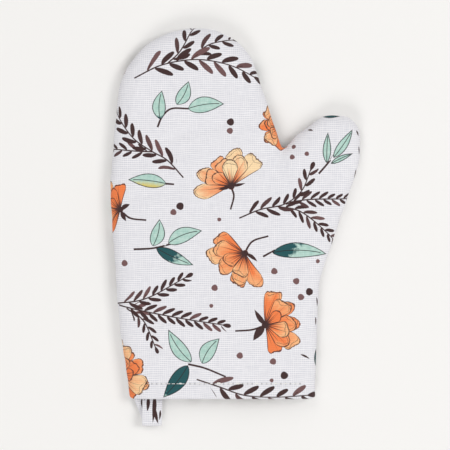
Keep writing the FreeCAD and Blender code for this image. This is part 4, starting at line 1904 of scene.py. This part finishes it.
@dataclass
class HangingLoop:
    """Folded strip of the printed cloth, sewn inside the cuff with a bartack."""

    tailor: Tailor
    width: float = 15.0
    strip: float = 1.15
    left: float = 8.6
    length: float = 20.6
    eye: float = 3.7
    middle: float = 6.65
    tail: float = 12.0
    sides: int = 40
    fold_from: float = 1.5
    fold_to: float = -6.0
    bar_line: float = 9.7

    def make(self) -> None:
        """Builds the strip, prints it and sews it down."""
        path, lean = self._path()
        cloth = self._strip(path, lean)
        piece = cloth.build(self.tailor.room.printed_strip)
        self._print().stamp(piece)
        origin = np.array(self.tailor.pattern.origin) * MM
        folds = (float(origin[1]) + line * MM for line in (self.fold_from, self.fold_to))
        start, end = ((0.0, y, self.middle * MM) for y in folds)
        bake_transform(piece)
        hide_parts("hanging_loop", "loop_tail")
        self._bartack()

    def _path(self) -> tuple[Array, Array]:
        """Middle line of the strip in the plane across the cuff, and its sideways lean.

        It runs out along the lower leg, round the far end as a half circle, and back.

        Returns:
            Points (y, z) in millimetres and the sideways shift at each.
        """
        centre = -self.length + self.eye + self.strip / 2.0
        t = np.linspace(0.0, 1.0, 30)
        reach = self.tail + (centre - self.tail) * t
        lift = 0.72 + (self.eye - 0.72) * smooth((t - 0.30) / 0.72)
        turn = np.linspace(-np.pi / 2, -3 * np.pi / 2, 19)[1:-1]
        bend = np.column_stack([centre + self.eye * np.cos(turn), self.middle + self.eye * np.sin(turn)])
        lower = np.column_stack([reach, self.middle - lift])
        upper = np.column_stack([reach, self.middle + lift])[::-1]
        path = np.concatenate([lower, bend, upper])
        slope = np.clip((t - 0.42) / 0.58, 0.0, 1.0)
        lean = np.concatenate([-6.2 * (1 - slope), np.zeros(len(bend)), (0.3 * (1 - slope))[::-1]])
        return path, lean

    def _strip(self, path: Array, lean: Array) -> Cloth:
        """Carries the strip's flat oval section along its path.

        Round the section the half width goes as cosine^0.35 and the half thickness as
        sine^0.8, each with its sign, plus a small crown and a faint wave.
        """
        way = np.gradient(path, axis=0)
        way /= np.linalg.norm(way, axis=1, keepdims=True)
        side = np.stack([-way[:, 1], way[:, 0]], axis=1)
        angle = np.linspace(0.0, 2 * np.pi, self.sides, endpoint=False)
        across = np.sign(np.cos(angle)) * np.abs(np.cos(angle)) ** 0.35 * self.width / 2.0
        thick = np.sign(np.sin(angle)) * np.abs(np.sin(angle)) ** 0.8 * self.strip / 2.0
        crown = 0.16 * np.cos(np.pi * across / self.width)
        wave = 0.12 * np.sin(np.arange(len(path)) / 4.0)[:, None] * np.sin(across / 2.6)[None, :]
        lift = (thick + np.sign(thick) * crown)[None, :] + wave
        x = self.left + self.width / 2.0 + lean[:, None] + across[None, :]
        y = path[:, 0][:, None] + side[:, 0][:, None] * lift
        z = path[:, 1][:, None] + side[:, 1][:, None] * lift
        girth = np.where(angle < np.pi, across, self.width * 1.05 - across)
        flat = np.stack(np.broadcast_arrays(girth[None, :], run_along(path)[:, None]), axis=-1)
        places = self.tailor.pattern.world(np.stack([x, y], axis=-1), z)
        return Cloth.grid("hanging_strap", places, flat, True, False, True).capped(self.sides)

    def _print(self) -> Print:
        """Sprig strokes that happen to fall on the strip."""
        strokes = (
            ((1.6, 60), (0.6, 38), 3.4, 0.5),
            ((2.2, 49), (5.0, 37.5), 2.8, -0.5),
            ((-3.0, 58), (-3.7, 46.5), 2.9, 0.3),
            ((6.2, 48), (5.6, 40), 1.8, 0.2),
            ((-5.0, 62), (-6.0, 55), 2.0, 0.2),
            ((-4.6, 12), (-2.0, 24), 3.2, 0.4),
            ((2.0, 8), (4.0, 20), 3.2, -0.4),
        )
        return Print([
            Leaf((x + face, y), (tip_x + face, tip_y), width, bend, 2.0)
            for face in (0.0, 22.0)
            for (x, y), (tip_x, tip_y), width, bend in strokes
        ])

    def _bartack(self) -> None:
        """Close bar of stitches over both legs, a few millimetres inside the cuff."""
        x = np.linspace(self.left + 2.2, self.left + self.width - 2.2, 17)
        share = np.linspace(-1.0, 1.0, 5)
        base = self.middle + 2 * self.strip * 0.55 + 0.62
        parts = []
        for i, place in enumerate(x):
            tilt = 0.25 if i % 2 else -0.25
            plan = np.column_stack([place + tilt * share, self.bar_line + 0.95 * share])
            run = self.tailor.pattern.world(plan, base + 0.2 * (1 - share**2))
            parts.append(thread_run("bar", run, 0.3 * MM, 6))
        piece = joined("loop_bar_stitches", parts).build(self.tailor.room.sewing)
        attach(piece, "palm")
        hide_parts("loop_bartack")


# ------------------------------------------------------------------ the studio


@dataclass(frozen=True)
class Lamp:
    """A square soft light: its place and side in metres, and its power."""

    name: str
    place: tuple[float, float, float]
    size: float
    power: float


@dataclass
class Studio:
    """Pale floor, soft light from the right, front and back, and an overhead camera."""

    floor_colour: str = "F4F3F1"
    middle: Point = (-7.8, 1.7)
    view_width: float = 339.6
    camera_height: float = 2600.0
    sharp_height: float = 14.0
    sky_strength: float = 0.515
    sky_colour: Colour = (1.0, 0.997, 0.995, 1.0)
    lamp_colour: tuple[float, float, float] = (1.0, 0.992, 0.985)
    lamps: tuple[Lamp, ...] = (
        Lamp("key", (1.45, 0.36, 2.25), 1.1, 21.0),
        Lamp("front_fill", (-0.5, -2.3, 2.2), 1.3, 24.5),
        Lamp("back_fill", (-0.75, 1.35, 2.55), 1.8, 13.5),
    )

    def make(self) -> None:
        """Builds floor, world, lights and camera."""
        self._floor()
        self._light()
        self._camera()

    def _floor(self) -> None:
        """A wide level floor of plain matt paper."""
        side = 6.0
        corners = [(-side, -side, 0.0), (side, -side, 0.0), (side, side, 0.0), (-side, side, 0.0)]
        mesh = bpy.data.meshes.new("studio_floor")
        mesh.from_pydata(corners, [], [(0, 1, 2, 3)])
        floor = placed("studio_floor", mesh)
        material = bpy.data.materials.new("studio_paper")
        material.use_nodes = True
        shader = material.node_tree.nodes["Principled BSDF"]
        shader.inputs["Base Color"].default_value = hex_colour(self.floor_colour)
        shader.inputs["Roughness"].default_value = 0.9
        shader.inputs["Specular IOR Level"].default_value = 0.1
        mesh.materials.append(material)

    def _light(self) -> None:
        """Even sky light, a soft key from the right and above, and a fill from front and back."""
        world = bpy.data.worlds.new("studio_world")
        bpy.context.scene.world = world
        world.use_nodes = True
        sky = world.node_tree.nodes["Background"]
        sky.inputs["Color"].default_value = self.sky_colour
        sky.inputs["Strength"].default_value = self.sky_strength
        for lamp in self.lamps:
            light = bpy.data.lights.new(lamp.name, "AREA")
            light.size, light.energy, light.color = lamp.size, lamp.power, self.lamp_colour
            item = placed(lamp.name, light)
            item.location = lamp.place
            aim = -np.array(lamp.place) / np.linalg.norm(lamp.place)
            yaw, tilt = math.atan2(aim[1], aim[0]), math.acos(-aim[2])
            item.rotation_euler = (tilt, 0.0, yaw - math.pi / 2)
        view = bpy.context.scene.view_settings
        view.view_transform = "Standard"
        view.look = "None"

    def _camera(self) -> None:
        """A long lens straight overhead."""
        camera = bpy.data.cameras.new("overhead")
        camera.sensor_width = 36.0
        above = self.camera_height - self.sharp_height
        camera.lens = 36.0 * above / self.view_width
        camera.clip_end = 50.0
        item = placed("overhead", camera)
        item.location = (self.middle[0] * MM, self.middle[1] * MM, self.camera_height * MM)
        bpy.context.scene.camera = item


def main() -> None:
    """Builds the mitt on its frame."""
    logging.basicConfig(level=logging.INFO, format="%(name)s %(message)s")
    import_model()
    pattern = FlatPattern()
    form = PaddedForm(pattern)
    for side in Side:
        form.settle(side)
    tailor = Tailor(pattern, form, Workroom())
    Studio().make()
    for side in Side:
        Wadding(tailor, side).make()
        Lining(tailor, side).make()
        Cover(tailor, side).make()
    Sewing(tailor).make()
    HangingLoop(tailor).make()


if __name__ == "__main__":
    main()
